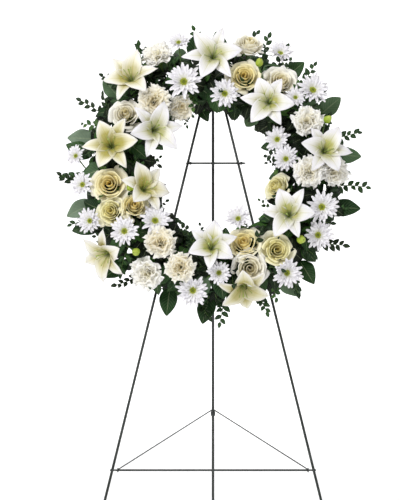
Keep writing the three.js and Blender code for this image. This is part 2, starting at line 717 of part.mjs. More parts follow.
// One hole in the foam for each stem.
function stemHoles() {
  const roots = [...FLOWERS.map(({ blooms }) => blooms[0]), ...TRAILS.map(trailRoot)];
  return roots.map((root) =>
    solidOf(rod(alongStem(root, STEM_STOP - 1), alongStem(root, FORK), STEM_RADIUS + 1.4, 4)),
  );
}

addFrontFrame();
addBackLeg();
addBrace();
addRing(stemHoles());
addFlowersAndGreenery();

// The origin is the middle of the footprint, on the floor.
const root = new THREE.Group();
root.add(assembly);
root.updateMatrixWorld(true);
assembly.position.y = -new THREE.Box3().setFromObject(root, true).getCenter(new THREE.Vector3()).y;

export default root;
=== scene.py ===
"""A funeral wreath of cut flowers on a folding wire easel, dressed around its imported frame.

The file is laid out as an add-on and is run as a script. Lengths are metres, +Z is up, the wreath faces -Y,
and +X is to the right as seen from the front.
"""

import random
from math import atan2, cos, degrees, pi, radians, sin, tau

import bmesh
import bpy
from mathutils import Matrix, Vector


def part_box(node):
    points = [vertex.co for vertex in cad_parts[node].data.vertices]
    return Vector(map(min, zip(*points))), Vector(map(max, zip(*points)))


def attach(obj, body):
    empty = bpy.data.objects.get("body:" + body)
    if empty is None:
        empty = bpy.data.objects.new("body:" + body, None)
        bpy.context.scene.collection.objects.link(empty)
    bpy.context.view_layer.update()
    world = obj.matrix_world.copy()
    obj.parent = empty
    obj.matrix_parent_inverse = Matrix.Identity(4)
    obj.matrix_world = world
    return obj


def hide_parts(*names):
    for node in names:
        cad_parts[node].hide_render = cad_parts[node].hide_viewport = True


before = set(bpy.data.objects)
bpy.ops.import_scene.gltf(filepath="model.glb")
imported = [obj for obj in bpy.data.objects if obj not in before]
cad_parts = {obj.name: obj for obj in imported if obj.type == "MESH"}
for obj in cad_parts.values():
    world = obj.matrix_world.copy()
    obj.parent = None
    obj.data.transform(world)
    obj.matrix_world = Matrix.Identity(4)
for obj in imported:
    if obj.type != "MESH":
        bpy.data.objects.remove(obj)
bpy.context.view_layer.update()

bl_info = {
    "name": "Funeral wreath on a wire easel",
    "version": (1, 0, 0),
    "blender": (4, 5, 0),
    "location": "View3D > Sidebar > Wreath",
    "description": "Makes a ring of lilies, roses, carnations and daisies on a folding wire easel",
    "category": "Add Mesh",
}

# Bodies of the frame
FRONT = "frame"
BACK = "back_leg"
BRACE = "brace"

# The easel
FRAME_LEAN = radians(12)
BACK_SPLAY = radians(13)
LEG_SPREAD = 0.234  # how far each front leg runs outwards for each unit down the frame
LEG_X_AT_HINGE = 0.0103
FRONT_LEG_RADIUS = 0.0032
BACK_LEG_RADIUS = 0.0036
BACK_EYE_RADIUS = 0.0021  # of the back leg's wire where it is drawn thinner and bent round the hinge rod
HINGE_ROD_RADIUS = 0.0025
CROSSBAR_RADIUS = 0.0024
BRACE_RADIUS = 0.0015
LEG_ABOVE_HINGE = 0.012
GAP = 0.0003
LOWER_BAR_DROP = 0.990  # down the frame from the hinge
LEG_PLANE = -(FRONT_LEG_RADIUS + HINGE_ROD_RADIUS + GAP)
BRACE_EYE_INSET = 0.014  # from the leg to the brace's eye
BRACE_EYE_SWEEP = radians(330)
EYE_PLAY = 0.0004
LOW_ENOUGH = 1.5  # a wire this long runs from the hinge past the floor, where it is cut
STOP_LENGTH = 0.012
STOP_RADIUS = 0.006
STOP_CHAMFER = 0.0008
STOP_SCREW = (-0.001, 0.0004, 0.0013)  # the grub screw's ends from the collar's outside, and its radius
# The bead of a weld: places along the thinner wire and the bead's radius at each, in radii of that wire
WELD_BEAD = ((-1.6, 1.02), (-1.1, 1.25), (-0.5, 1.55), (0, 1.68), (0.5, 1.55), (1.1, 1.25), (1.6, 1.02))

# The ring
RING_RADIUS = 0.240
TRAY_HALF_WIDTH = 0.036
TRAY_HEIGHT = 0.034
TRAY_WALL = 0.002
TRAY_LIP = 0.0008
RIB_STEP = 10  # degrees from rib to rib round the tray
RIB_RADII = [0.0004, 0.0011, 0.0012, 0.0011, 0.0004]
FOAM_HEIGHT = 0.060
FOAM_SHOULDER = (0.016, 0.020)  # how far in and how far up the foam's bevelled shoulders run
FOAM_PITS = 0.0012
FOAM_MIDDLE = 0.027  # height of the point that every stem runs towards
STEM_STOP = 0.009  # how short of that point the stems end
STEM_RADIUS = 0.0022
STEM_SWELL = (1.1, 1.0, 0.92, 1.0, 1.25)  # the radii along a stem, as shares of its own
FORK = 0.052  # how far from the foam's middle a side stem leaves its main stem
TIE_RADIUS = 0.0065
TIE_WIRE = 0.0008
TIES = {"top_tie": 1, "lower_left_tie": -1, "lower_right_tie": 1}  # 1 on the right leg, -1 on the left
TRAIL_HEIGHT = 0.015
TRAIL_BESIDE = TRAY_HALF_WIDTH + 0.013

ACROSS = Vector((1, 0, 0))
UP = Vector((0, 0, 1))
GOLDEN_ANGLE = pi * (3 - 5**0.5)

# How far along its stem each kind of head begins, and the share of its stem's lean that it turns back towards
# the front. The blooms named after them differ from their kind.
BASES = {
    "lily": 0.074, "rose": 0.060, "carnation": 0.060, "daisy": 0.084, "bud": 0.096,
    "lily_5": 0.050, "lily_7": 0.084, "lily_8": 0.080, "lily_10": 0.084, "lily_11": 0.080,
    "rose_3": 0.070, "rose_11": 0.086, "carnation_9": 0.074,
}
NODS = {
    "lily": 0.55, "rose": 0.35, "carnation": 0.4, "daisy": 0.65, "bud": 0.0,
    "lily_1": 1.0, "lily_5": 0.0, "lily_7": 0.25, "lily_8": 0.3,
}

# Where each bloom stands: clock is degrees clockwise from the top of the ring, lean is degrees outwards from
# facing straight to the front, then its radius, the degrees that it is turned on its stem, and its colouring.
LILIES = {
    "lily_1": (0, 27, 0.074, 10, "white"),
    "lily_2": (41, -23, 0.066, 35, "white"),
    "lily_3": (83, 22, 0.064, 20, "white"),
    "lily_4": (125, -12, 0.066, 0, "white"),
    "lily_5": (166, 54, 0.066, 30, "lime"),
    "lily_6": (181, -23, 0.062, 25, "white"),
    "lily_7": (230, 63, 0.068, 12, "cream"),
    "lily_8": (250, -39, 0.064, 5, "cream"),
    "lily_9": (280, 7, 0.068, 40, "lime"),
    "lily_10": (302, -47, 0.070, 15, "white"),
    "lily_11": (317, 37, 0.068, 28, "cream"),
}
LILY_BUDS = {
    "lily_2": (24, 21, 0.009),
    "lily_3": (68, 34, 0.009),
    "lily_4": (132, 23, 0.010),
    "lily_7": (220, 25, 0.009),
    "lily_8": (253, -17, 0.009),
}
ROSES = {
    "rose_1": (19, -2, 0.040, 0, "gold"),
    "rose_2": (38, 24, 0.042, 40, "ivory"),
    "rose_3": (107, -62, 0.031, 10, "lemon"),
    "rose_4": (144, 16, 0.039, 70, "lemon"),
    "rose_5": (159, -25, 0.041, 20, "gold"),
    "rose_6": (161, 23, 0.039, 55, "ivory"),
    "rose_7": (245, 24, 0.035, 30, "lemon"),
    "rose_8": (242, -18, 0.034, 80, "gold"),
    "rose_9": (259, 12, 0.043, 15, "gold"),
    "rose_10": (301, 7, 0.036, 65, "ivory"),
    "rose_11": (16, 57, 0.035, 45, "ivory"),
}
CARNATIONS = {
    "carnation_1": (65, 10, 0.042, 0, "white"),
    "carnation_2": (95, -5, 0.042, 30, "white"),
    "carnation_3": (93, 42, 0.040, 60, "white"),
    "carnation_4": (197, 19, 0.038, 20, "cream"),
    "carnation_5": (211, 55, 0.042, 50, "white"),
    "carnation_6": (213, -6, 0.040, 80, "cream"),
    "carnation_7": (318, -18, 0.042, 10, "cream"),
    "carnation_8": (333, -58, 0.033, 40, "cream"),
    "carnation_9": (334, 50, 0.041, 70, "white"),
}
# Each spray's blooms as clock, lean, radius and, where it isn't the usual one, base. The others fork off the
# first one's stem.
DAISY_SPRAYS = {
    "daisy_spray_1": [(341, -13, 0.048), (345, 56, 0.030, 0.106)],
    "daisy_spray_2": [(9, -38, 0.040)],
    "daisy_spray_3": [(52, 45, 0.044, 0.096), (29, 80, 0.036, 0.106), (50, 16, 0.028)],
    "daisy_spray_4": [(66, -50, 0.036), (84, -44, 0.036)],
    "daisy_spray_5": [(112, 29, 0.043), (124, 48, 0.040)],
    "daisy_spray_6": [(146, 54, 0.040, 0.092)],
    "daisy_spray_7": [(155, -58, 0.034, 0.110)],
    "daisy_spray_8": [(189, 52, 0.042), (177, 19, 0.032)],
    "daisy_spray_9": [(225, -29, 0.042)],
    "daisy_spray_10": [(232, 20, 0.039), (246, 61, 0.034, 0.096)],
    "daisy_spray_11": [(262, 54, 0.034, 0.096), (275, 61, 0.028, 0.108)],
}
# Trails beside the ring: from and to in clock degrees, 1 outside the ring or -1 inside it, then the clock
# degrees of the broad leaves and of the small-leaved sprigs that stand out from the trail.
TRAILS = {
    "leaf_trail_1": (340, 468, 1, [350, 365, 395, 421, 440, 467], [357, 372, 383, 389, 406, 432, 456]),
    "leaf_trail_2": (113, 226, 1, [135, 149, 181, 201, 223], [124, 142, 161, 174, 188, 214]),
    "leaf_trail_3": (235, 337, 1, [245, 257, 278, 288, 309], [251, 263, 270, 299, 317, 326, 335]),
    "leaf_trail_4": (40, 190, -1, [66, 88, 112, 150, 172], [78, 124, 186]),
    "leaf_trail_5": (206, 352, -1, [222, 262, 300, 348], [238, 248, 280, 336]),
}
BROAD_LEAF = (0.074, 0.023)  # length and half width
BROAD_STALK = 0.018
SPRIG_LENGTH = 0.098
SPRIG_LEAF = (0.022, 0.0064)
INNER_SCALE = 0.62  # the leaves inside the ring are this much smaller

# Colours are six hexadecimal digits. A petal's run from the heart of the bloom out to the rims.
PETAL_COLOURS = {
    "lily white": ("3a4c0c", "b3b02a", "ebe9e2", "f5f3f7"),
    "lily cream": ("3c480a", "b2a61e", "ece7cc", "f5f2ec"),
    "lily lime": ("36420a", "a79c14", "e6deae", "f4f1e8"),
    "rose gold": ("f2d876", "f8e8a2", "fbf3cc", "fbf8ea"),
    "rose ivory": ("f3e6b4", "f9f2d6", "fcf9ee", "fcfbf7"),
    "rose lemon": ("f3e48e", "f8f0b0", "faf5cc", "fbf8e2"),
    "carnation white": ("ece6c8", "f7f3e6", "faf9f3", "fbfaf8"),
    "carnation cream": ("eadcae", "f5ecd0", "faf6e8", "fbf9f2"),
}
# How far out along a lily's tepals the yellow-green of the throat runs
LILY_STREAKS = {"lily white": 0.44, "lily cream": 0.50, "lily lime": 0.58}
# The roughness of each kind of leaf, then the tones that its leaves are drawn from
LEAF_TONES = {
    "broad leaf": (
        0.42,
        (0.0, "142e14"), (0.3, "22451e"), (0.5, "35552c"), (0.7, "55704f"), (0.88, "7d907a"), (1.0, "447a26"),
    ),
    "sprig leaf": (0.38, (0.0, "12260f"), (0.4, "1e3a20"), (0.75, "33592a"), (1.0, "5f7f36")),
    # The foliage's near-black tones are partly the leaves' own dark green and partly painted shade for the
    # deep gaps between the blooms
    "foliage": (0.5, (0.0, "030803"), (0.5, "0a170a"), (0.82, "1b3715"), (1.0, "44702c")),
}

# The studio
FLOOR_HALF_WIDTH = 12.0
FLOOR_FRONT = -9.0
FLOOR_BACK = 10.0
FLOOR_TOP = 8.0
FLOOR_SWEEP = 3.0
GLOW_START = 0.5  # how far behind the easel the floor's own light begins to grow
GLOW_REACH = 4.5
WORLD_LIGHT = 0.36
CAMERA_LENS = 105.1
CAMERA_SHIFT = -0.026
LAMPS = {  # place, size and power
    "key": ((-1.6, -2.6, 2.9), 1.4, 74),
    "fill": ((2.2, -2.2, 1.5), 2.2, 14),
    "top": ((0.2, 0.6, 3.4), 2.0, 20),
}


def kept(build):
    """Keeps what a function builds from each set of values, so that it is built once and used again."""
    built = {}

    def fetch(*values):
        if values not in built:
            built[values] = build(*values)
        return built[values]

    return fetch


# ---- Node trees ----


def socket_of(sockets, key):
    """The socket at an index, or the one in use among those that share a name."""
    if isinstance(key, int):
        return sockets[key]
    return next(socket for socket in sockets if socket.name == key and socket.enabled)


def feed(tree, socket, value):
    """Sets an input socket to a plain value, or links it to a field or an output socket."""
    if isinstance(value, Field):
        value = value.socket
    if isinstance(value, bpy.types.NodeSocket):
        tree.links.new(value, socket)
    else:
        socket.default_value = value


def add(tree, kind, inputs=None, **settings):
    """A new node with its settings made first, because they decide which sockets are in use."""
    node = tree.nodes.new(kind)
    for key, value in settings.items():
        setattr(node, key, value)
    for key, value in (inputs or {}).items():
        feed(tree, socket_of(node.inputs, key), value)
    return node


def made(tree, kind, inputs=None, **settings):
    """The first output of a new node."""
    return add(tree, kind, inputs, **settings).outputs[0]


def operator(operation, swapped=False):
    def apply(field, other):
        first, second = (other, field) if swapped else (field, other)
        return math_node(field.tree, operation, first, second)

    return apply


class Field:
    """A number in a node tree. Plain arithmetic on it adds Math nodes."""

    def __init__(self, tree, socket):
        self.tree = tree
        self.socket = socket

    __add__ = __radd__ = operator("ADD")
    __sub__ = operator("SUBTRACT")
    __rsub__ = operator("SUBTRACT", swapped=True)
    __mul__ = __rmul__ = operator("MULTIPLY")
    __truediv__ = operator("DIVIDE")
    __pow__ = operator("POWER")


def math_node(tree, operation, *values):
    return Field(tree, made(tree, "ShaderNodeMath", dict(enumerate(values)), operation=operation))


def sine(value):
    return math_node(value.tree, "SINE", value) if isinstance(value, Field) else sin(value)


def cosine(value):
    return math_node(value.tree, "COSINE", value) if isinstance(value, Field) else cos(value)


def size_of(field):
    return math_node(field.tree, "ABSOLUTE", field)


def at_most(field, limit):
    return math_node(field.tree, "MINIMUM", field, limit)


def above(field, limit):
    """How far a field is above a limit, and 0 below it."""
    return math_node(field.tree, "MAXIMUM", field - limit, 0.0)


def bell(field, width):
    """1 where a field is 0, falling to 0 over about a width on both sides."""
    share = field / width
    return math_node(field.tree, "EXPONENT", share * share * -1)


def components(tree, vector):
    node = add(tree, "ShaderNodeSeparateXYZ", {0: vector})
    return [Field(tree, output) for output in node.outputs]


def vector_of(tree, x, y, z):
    return made(tree, "ShaderNodeCombineXYZ", {"X": x, "Y": y, "Z": z})


def attribute(tree, name, kind="FLOAT"):
    node = add(tree, "GeometryNodeInputNamedAttribute", {"Name": name}, data_type=kind)
    return Field(tree, socket_of(node.outputs, "Attribute"))


def stored(tree, geometry, name, value, kind="FLOAT", domain="POINT"):
    inputs = {"Geometry": geometry, "Name": name, "Value": value}
    return made(tree, "GeometryNodeStoreNamedAttribute", inputs, data_type=kind, domain=domain)


def moved(tree, geometry, position):
    return made(tree, "GeometryNodeSetPosition", {"Geometry": geometry, "Position": position})


def numbered_points(tree, count):
    """So many points at the origin, and the field of their numbers."""
    points = made(tree, "GeometryNodeMeshLine", {"Count": count, "Offset": (0.0, 0.0, 0.0)})
    return points, Field(tree, made(tree, "GeometryNodeInputIndex"))


def new_tree(name, sizes):
    """A tree with an input for each size and for the material, its input node, and its sizes as fields."""
    tree = bpy.data.node_groups.new(name, "GeometryNodeTree")
    for way in ("OUTPUT", "INPUT"):
        tree.interface.new_socket("Geometry", in_out=way, socket_type="NodeSocketGeometry")
    for label, value in sizes.items():
        kind = "NodeSocketInt" if isinstance(value, int) else "NodeSocketFloat"
        tree.interface.new_socket(label, in_out="INPUT", socket_type=kind).default_value = value
    tree.interface.new_socket("Material", in_out="INPUT", socket_type="NodeSocketMaterial")
    given = tree.nodes.new("NodeGroupInput")
    return tree, given, {label: Field(tree, given.outputs[label]) for label in sizes}


def end_tree(tree, given, geometry):
    """Ends a tree: one real mesh, smooth, with its material."""
    for kind in ("GeometryNodeRealizeInstances", "GeometryNodeSetShadeSmooth"):
        geometry = made(tree, kind, {"Geometry": geometry})
    inputs = {"Geometry": geometry, "Material": given.outputs["Material"]}
    add(tree, "NodeGroupOutput", {"Geometry": made(tree, "GeometryNodeSetMaterial", inputs)})
    return tree


class Petal:
    """What the formula of a petal's shape may use: its place across and along it, and which petal it is."""

    def __init__(self, tree, across, along, seed):
        self.tree = tree
        self.across = across  # -1 at one edge, 1 at the other
        self.along = along  # 0 at the base, 1 at the tip
        self.number = attribute(tree, "petal")
        self.share = attribute(tree, "layer")  # 0 for the innermost petal, about 1 for the outermost
        self.seed = seed

    def random(self, draw):
        """A number from -1 to 1 that is the same all over one petal."""
        inputs = {"Min": -1.0, "Max": 1.0, "ID": self.number, "Seed": self.seed * 16 + draw}
        node = add(self.tree, "FunctionNodeRandomValue", inputs, data_type="FLOAT")
        return Field(self.tree, socket_of(node.outputs, "Value"))


def strips_on(tree, points, columns, rows):
    """A flat strip on each point, with its own map, and the fields across and along it that shapes use."""
    inputs = {"Size X": 2.0, "Size Y": 1.0, "Vertices X": columns + 1, "Vertices Y": rows + 1}
    grid = add(tree, "GeometryNodeMeshGrid", inputs)
    strip = stored(tree, grid.outputs["Mesh"], "UVMap", grid.outputs["UV Map"], "FLOAT2", "CORNER")
    copies = made(tree, "GeometryNodeInstanceOnPoints", {"Points": points, "Instance": strip})
    real = made(tree, "GeometryNodeRealizeInstances", {"Geometry": copies})
    x, y, _ = components(tree, made(tree, "GeometryNodeInputPosition"))
    return real, x, y + 0.5


@kept
def whorl_tree(kind):
    """A tree that bends copies of a strip into a whorl of petals by the formula of its kind."""
    shape, petals, columns, rows, _, sizes = WHORLS[kind]
    tree, given, size = new_tree(kind, {"Petals": petals, "Seed": 0, **sizes})
    points, index = numbered_points(tree, size["Petals"])
    numbered = stored(tree, points, "petal", index)
    shared = stored(tree, numbered, "layer", index / above(size["Petals"] - 1, 0.5))
    real, across, along = strips_on(tree, shared, columns, rows)
    petal = Petal(tree, across, along, size["Seed"])
    toned = stored(tree, real, "tone", petal.random(15))
    return end_tree(tree, given, moved(tree, toned, vector_of(tree, *shape(petal, size))))


def arc(petal, turn, length, start, end, half_width, lift=0.0, reach=0.0, rise=0.0):
    """A petal whose midline is an arc: start and end are its slopes in radians from straight up. half_width
    and lift, towards the heart, may vary over it. It begins at a reach from the axis and at a height rise."""
    bend = end - start
    slope = start + bend * petal.along
    out = length / bend * (cosine(start) - cosine(slope)) + reach - lift * cosine(slope)
    up = length / bend * (sine(slope) - sine(start)) + rise + lift * sine(slope)
    side = petal.across * half_width
    x = out * cosine(turn) - side * sine(turn)
    y = out * sine(turn) + side * cosine(turn)
    return x, y, up


def baked(tree, values, material, base=None, thickness=0.0):
    """The plain mesh that a tree makes on a base mesh, with a wall of a thickness where one is given."""
    base = base or bpy.data.meshes.new("base")
    carrier = bpy.data.objects.new("carrier", base)
    bpy.context.scene.collection.objects.link(carrier)
    modifier = carrier.modifiers.new("Form", "NODES")
    modifier.node_group = tree
    values = {**values, "Material": material}
    for item in tree.interface.items_tree:
        if item.name in values:
            modifier[item.identifier] = values[item.name]
    if thickness:
        wall = carrier.modifiers.new("Wall", "SOLIDIFY")
        wall.thickness = thickness
        wall.offset = 0.0
    graph = bpy.context.evaluated_depsgraph_get()
    result = carrier.evaluated_get(graph)
    mesh = bpy.data.meshes.new_from_object(result, preserve_all_data_layers=True, depsgraph=graph)
    bpy.data.objects.remove(carrier)
    bpy.data.meshes.remove(base)
    return mesh


def placed(mesh, matrix):
    mesh.transform(matrix)
    return mesh


def dress(name, meshes, body, slot, *nodes):
    """Joins meshes into one piece at the origin and hands it to the frame."""
    objects = [bpy.data.objects.new(name, mesh) for mesh in meshes]
    for item in objects:
        bpy.context.scene.collection.objects.link(item)
    if len(objects) > 1:
        with bpy.context.temp_override(active_object=objects[0], selected_editable_objects=objects):
            bpy.ops.object.join()
    piece = objects[0]
    piece.name = name
    piece.data.name = name
    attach(piece, body)
    if nodes:
        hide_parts(*nodes)


# ---- Wires, stems and other round lengths ----


@kept
def wire_tree():
    """A tree that gives each line of a mesh a round section of the line's own thickness."""
    tree, given, size = new_tree("Round wire", {"Sides": 12})
    line = made(tree, "GeometryNodeMeshToCurve", {"Mesh": given.outputs["Geometry"]})
    section = made(tree, "GeometryNodeCurvePrimitiveCircle", {"Resolution": size["Sides"], "Radius": 1.0})
    inputs = {"Curve": line, "Profile Curve": section, "Scale": attribute(tree, "thickness")}
    inputs["Fill Caps"] = True
    return end_tree(tree, given, made(tree, "GeometryNodeCurveToMesh", inputs))


def wires(paths, material, sides=12):
    """Round lengths in one mesh. Each path is its points, its radius or radii, and True if it closes."""
    points, edges, radii = [], [], []
    for path, radius, *closed in paths:
        first = len(points)
        points += [tuple(point) for point in path]
        edges += [(i, i + 1) for i in range(first, len(points) - 1)]
        if closed:
            edges.append((len(points) - 1, first))
        radii += radius if isinstance(radius, list) else [radius] * len(path)
    lines = bpy.data.meshes.new("lines")
    lines.from_pydata(points, edges, [])
    lines.attributes.new("thickness", "FLOAT", "POINT").data.foreach_set("value", radii)
    return baked(wire_tree(), {"Sides": sides}, material, lines)


def between(start, end, steps):
    """Points from a start to an end, both among them."""
    return [start.lerp(end, i / steps) for i in range(steps + 1)]


def circle_points(centre, first, second, count, start=0.0, sweep=tau):
    """Points round a circle or part of one; first and second are its two radii as vectors."""
    last = count if sweep == tau else count - 1
    turns = [start + sweep * i / last for i in range(count)]
    return [centre + first * cos(turn) + second * sin(turn) for turn in turns]


def curve_through(points, steps):
    """A smooth curve through points, as more points."""
    ends = [points[0] * 2 - points[1], *points, points[-1] * 2 - points[-2]]
    curve = []
    for i in range(1, len(ends) - 2):
        a, b, c, d = ends[i - 1 : i + 3]
        for t in [step / steps for step in range(steps)]:
            point = 2 * b + (c - a) * t
            point += (2 * a - 5 * b + 4 * c - d) * t**2
            point += (3 * (b - c) + d - a) * t**3
            curve.append(0.5 * point)
    return [*curve, points[-1]]


def broken_line(corners, steps):
    """Points from corner to corner in so many steps each, without the last corner."""
    points = []
    for (a, b), (c, d), count in zip(corners, corners[1:], steps):
        points += [(a + (c - a) * i / count, b + (d - b) * i / count) for i in range(count)]
    return points


def turned(profile, sides, material):
    """A ring or collar turned about +Z from a closed profile of (radius, height) points."""
    mesh = bpy.data.meshes.new("turned")
    form = bmesh.new()
    loops = []
    for turn in [tau * i / sides for i in range(sides)]:
        loops.append([form.verts.new((r * cos(turn), r * sin(turn), z)) for r, z in profile])
    for i, loop in enumerate(loops):
        following = loops[(i + 1) % sides]
        for k in range(len(profile)):
            j = (k + 1) % len(profile)
            form.faces.new((loop[k], following[k], following[j], loop[j]))
    bmesh.ops.recalc_face_normals(form, faces=form.faces)
    for face in form.faces:
        face.smooth = True
    form.to_mesh(mesh)
    form.free()
    mesh.materials.append(material)
    return mesh


def cut_at_floor(mesh):
    """Cuts a mesh level with the floor and closes the cut."""
    form = bmesh.new()
    form.from_mesh(mesh)
    everything = [*form.verts, *form.edges, *form.faces]
    plane = {"plane_co": (0, 0, 0), "plane_no": (0, 0, -1)}
    cut = bmesh.ops.bisect_plane(form, geom=everything, clear_outer=True, **plane)
    rim = [item for item in cut["geom_cut"] if isinstance(item, bmesh.types.BMEdge)]
    bmesh.ops.edgeloop_fill(form, edges=rim)
    form.to_mesh(mesh)
    form.free()
    return mesh


# ---- Materials ----

PETAL_GLOW = {
    "subsurface_weight": 0.2,
    "subsurface_radius": (1.0, 1.0, 0.8),
    "subsurface_scale": 0.002,
    "sheen_weight": 0.05,
}


def tint(colour):
    """Hexadecimal digits as linear red, green, blue and alpha. Any other colour is left as it is."""
    if not isinstance(colour, str):
        return colour
    parts = [int(colour[i : i + 2], 16) / 255 for i in (0, 2, 4)]
    return (*[c / 12.92 if c <= 0.04045 else ((c + 0.055) / 1.055) ** 2.4 for c in parts], 1.0)


def grey(share):
    return (share, share, share, 1.0)


class Finish:
    """A material under construction: its tree, its shader, and the fields that its colour and relief use."""

    def __init__(self, name, roughness, **values):
        self.material = bpy.data.materials.new(name)
        self.material.use_nodes = True
        self.tree = self.material.node_tree
        self.shader = self.tree.nodes["Principled BSDF"]
        for label, value in {"roughness": roughness, **values}.items():
            self.shader.inputs[label.replace("_", " ").title().replace("Ior", "IOR")].default_value = value
        self.place = self.tree.nodes.new("ShaderNodeTexCoord")

    def map(self):
        """Across and along a petal or leaf, each from 0 to 1."""
        return components(self.tree, self.place.outputs["UV"])[:2]

    def attribute(self, name):
        return Field(self.tree, add(self.tree, "ShaderNodeAttribute", attribute_name=name).outputs["Fac"])

    def noise(self, scale, detail=3.0):
        inputs = {"Vector": self.place.outputs["Object"], "Scale": scale, "Detail": detail}
        return Field(self.tree, add(self.tree, "ShaderNodeTexNoise", inputs).outputs["Fac"])

    def ramp(self, factor, *stops):
        """A colour for each value of a factor; stops are (value, colour)."""
        node = add(self.tree, "ShaderNodeValToRGB", {0: factor})
        elements = node.color_ramp.elements
        while len(elements) < len(stops):
            elements.new(1.0)
        for element, (value, colour) in zip(elements, stops):
            element.position = value
            element.color = tint(colour)
        return node.outputs["Color"]

    def mix(self, factor, first, second, blend="MIX"):
        node = add(self.tree, "ShaderNodeMix", data_type="RGBA", blend_type=blend)
        for key, value in (("Factor", factor), ("A", tint(first)), ("B", tint(second))):
            feed(self.tree, socket_of(node.inputs, key), value)
        return socket_of(node.outputs, "Result")

    def colour(self, value):
        feed(self.tree, self.shader.inputs["Base Color"], value)

    def roughness(self, value):
        feed(self.tree, self.shader.inputs["Roughness"], value)

    def relief(self, height, distance, strength=1.0):
        inputs = {"Height": height, "Distance": distance, "Strength": strength}
        feed(self.tree, self.shader.inputs["Normal"], made(self.tree, "ShaderNodeBump", inputs))
        return self.material


def petal_veins(finish, lines):
    """Fine lines that fan out along a petal."""
    across, along = finish.map()
    spread = (across - 0.5) * lines
    wander = finish.noise(90.0) * 1.2
    return sine(spread * tau + wander) * 0.5 + 0.5, across, along


@kept
def layered_petal(name, roughness):
    """Petals of a many-petalled bloom: deep in the heart, pale on the outer petals and their rims."""
    heart, inner, outer, rim = PETAL_COLOURS[name]
    finish = Finish(name, roughness, **PETAL_GLOW)
    veins, _, along = petal_veins(finish, 14)
    body = finish.ramp(finish.attribute("layer"), (0.0, heart), (0.3, inner), (0.75, outer), (1.0, rim))
    towards_rim = finish.ramp(along, (0.0, "dccf90"), (0.45, "f8f2e2"), (1.0, "ffffff"))
    colour = finish.mix(0.6, body, towards_rim, "MULTIPLY")
    tone = finish.attribute("tone") * 0.5 + 0.5
    colour = finish.mix(tone * 0.22, colour, rim)
    finish.colour(finish.mix(finish.noise(160.0) * 0.16 + veins * 0.06, colour, inner))
    return finish.relief(veins * 0.6 + finish.noise(420.0), 0.0002, 0.5)


@kept
def lily_petal(name):
    """Lily tepals: green in the throat, streaked yellow-green up the midrib, white towards the edges, with
    painted grey shade along the vein grooves.
    """
    throat, streak, body, edge = PETAL_COLOURS[name]
    reach = LILY_STREAKS[name]
    finish = Finish(name, 0.42, **PETAL_GLOW)
    veins, across, along = petal_veins(finish, 9)
    middle = bell(across - 0.5, 0.26)
    fade = finish.ramp(along, (0.0, grey(1.0)), (reach, grey(0.9)), (reach + 0.38, grey(0.0)))
    throat_end = [(0.0, throat), (0.14, throat)]
    green = finish.ramp(along, *throat_end, (0.30, streak), (reach, streak), (reach + 0.4, body))
    petal = finish.mix(size_of(across - 0.5) * 1.5 + along * along * 0.7, body, edge)
    spread = at_most(middle + bell(along, reach) + veins * 0.18, 1.0)
    depth = spread * (finish.attribute("tone") * 0.2 + 0.8)
    colour = finish.mix(math_node(finish.tree, "MULTIPLY", fade, depth), petal, green)
    midrib = bell(across - 0.5, 0.022) * bell(along - 0.35, 0.45)
    colour = finish.mix(midrib * 0.55, colour, streak)
    # Painted shade: the tepals are greyed towards cfccc6 along their vein grooves and in noise patches
    finish.colour(finish.mix(finish.noise(60.0) * 0.08 + veins * 0.07, colour, "cfccc6"))
    return finish.relief(veins + finish.noise(300.0) * 0.6, 0.00035, 0.55)


@kept
def daisy_petal():
    finish = Finish("daisy petal", 0.5, **PETAL_GLOW)
    veins, _, along = petal_veins(finish, 3)
    base = finish.ramp(along, (0.0, "cdd08a"), (0.22, "eeeeda"), (0.6, "f7f5f8"))
    colour = finish.mix(finish.attribute("layer") * 0.2, base, "f4f1f6")
    # Painted shade: the rays are greyed lilac towards dcd8dc along their grooves
    finish.colour(finish.mix(veins * 0.10, colour, "dcd8dc"))
    return finish.relief(veins, 0.0002, 0.6)


@kept
def daisy_eye():
    """The florets of a daisy's disc: dark green in the middle, lime and then yellow outwards."""
    finish = Finish("daisy disc", 0.6)
    stops = [(0.0, "3d5014"), (0.22, "66791c"), (0.5, "b5bf3c"), (1.0, "dfdc5c")]
    florets = finish.ramp(finish.attribute("layer"), *stops)
    finish.colour(finish.mix(finish.noise(900.0) * 0.4, florets, "c9cf4e"))
    return finish.relief(finish.noise(1600.0), 0.0002)


@kept
def leaf_finish(name):
    """Leaves: each has its own tone, with a paler midrib and side veins and a mottled blade."""
    roughness, *tones = LEAF_TONES[name]
    finish = Finish(name, roughness, ior=1.3, specular_tint=(0.8, 0.9, 0.8, 1.0))
    across, along = finish.map()
    side = size_of(across - 0.5)
    ribs = bell(sine((along - side * 0.55) * 30.0), 0.30) * bell(side - 0.2, 0.3)
    midrib = bell(side, 0.028)
    tone = finish.ramp(finish.attribute("tone") * 0.5 + 0.5, *tones)
    colour = finish.mix(ribs * 0.25 + midrib * 0.7, tone, finish.mix(0.5, tone, "b9c69a"))
    finish.colour(finish.mix(finish.noise(140.0) * 0.5, colour, finish.mix(0.55, tone, "16220f")))
    finish.roughness(finish.noise(200.0) * 0.18 + (roughness - 0.08))
    return finish.relief(ribs * -0.6 - midrib + finish.noise(500.0) * 0.25, 0.0005, 0.7)


@kept
def stem_finish():
    finish = Finish("cut stem", 0.5)
    grain = finish.noise(220.0)
    finish.colour(finish.ramp(grain, (0.3, "38551f"), (0.7, "5c7a33")))
    return finish.relief(grain, 0.0003)


@kept
def stamen_finish():
    finish = Finish("lily stamen", 0.5)
    finish.colour(finish.ramp(finish.noise(120.0), (0.3, "7f9436"), (0.7, "b9c774")))
    return finish.relief(finish.noise(400.0), 0.0002)


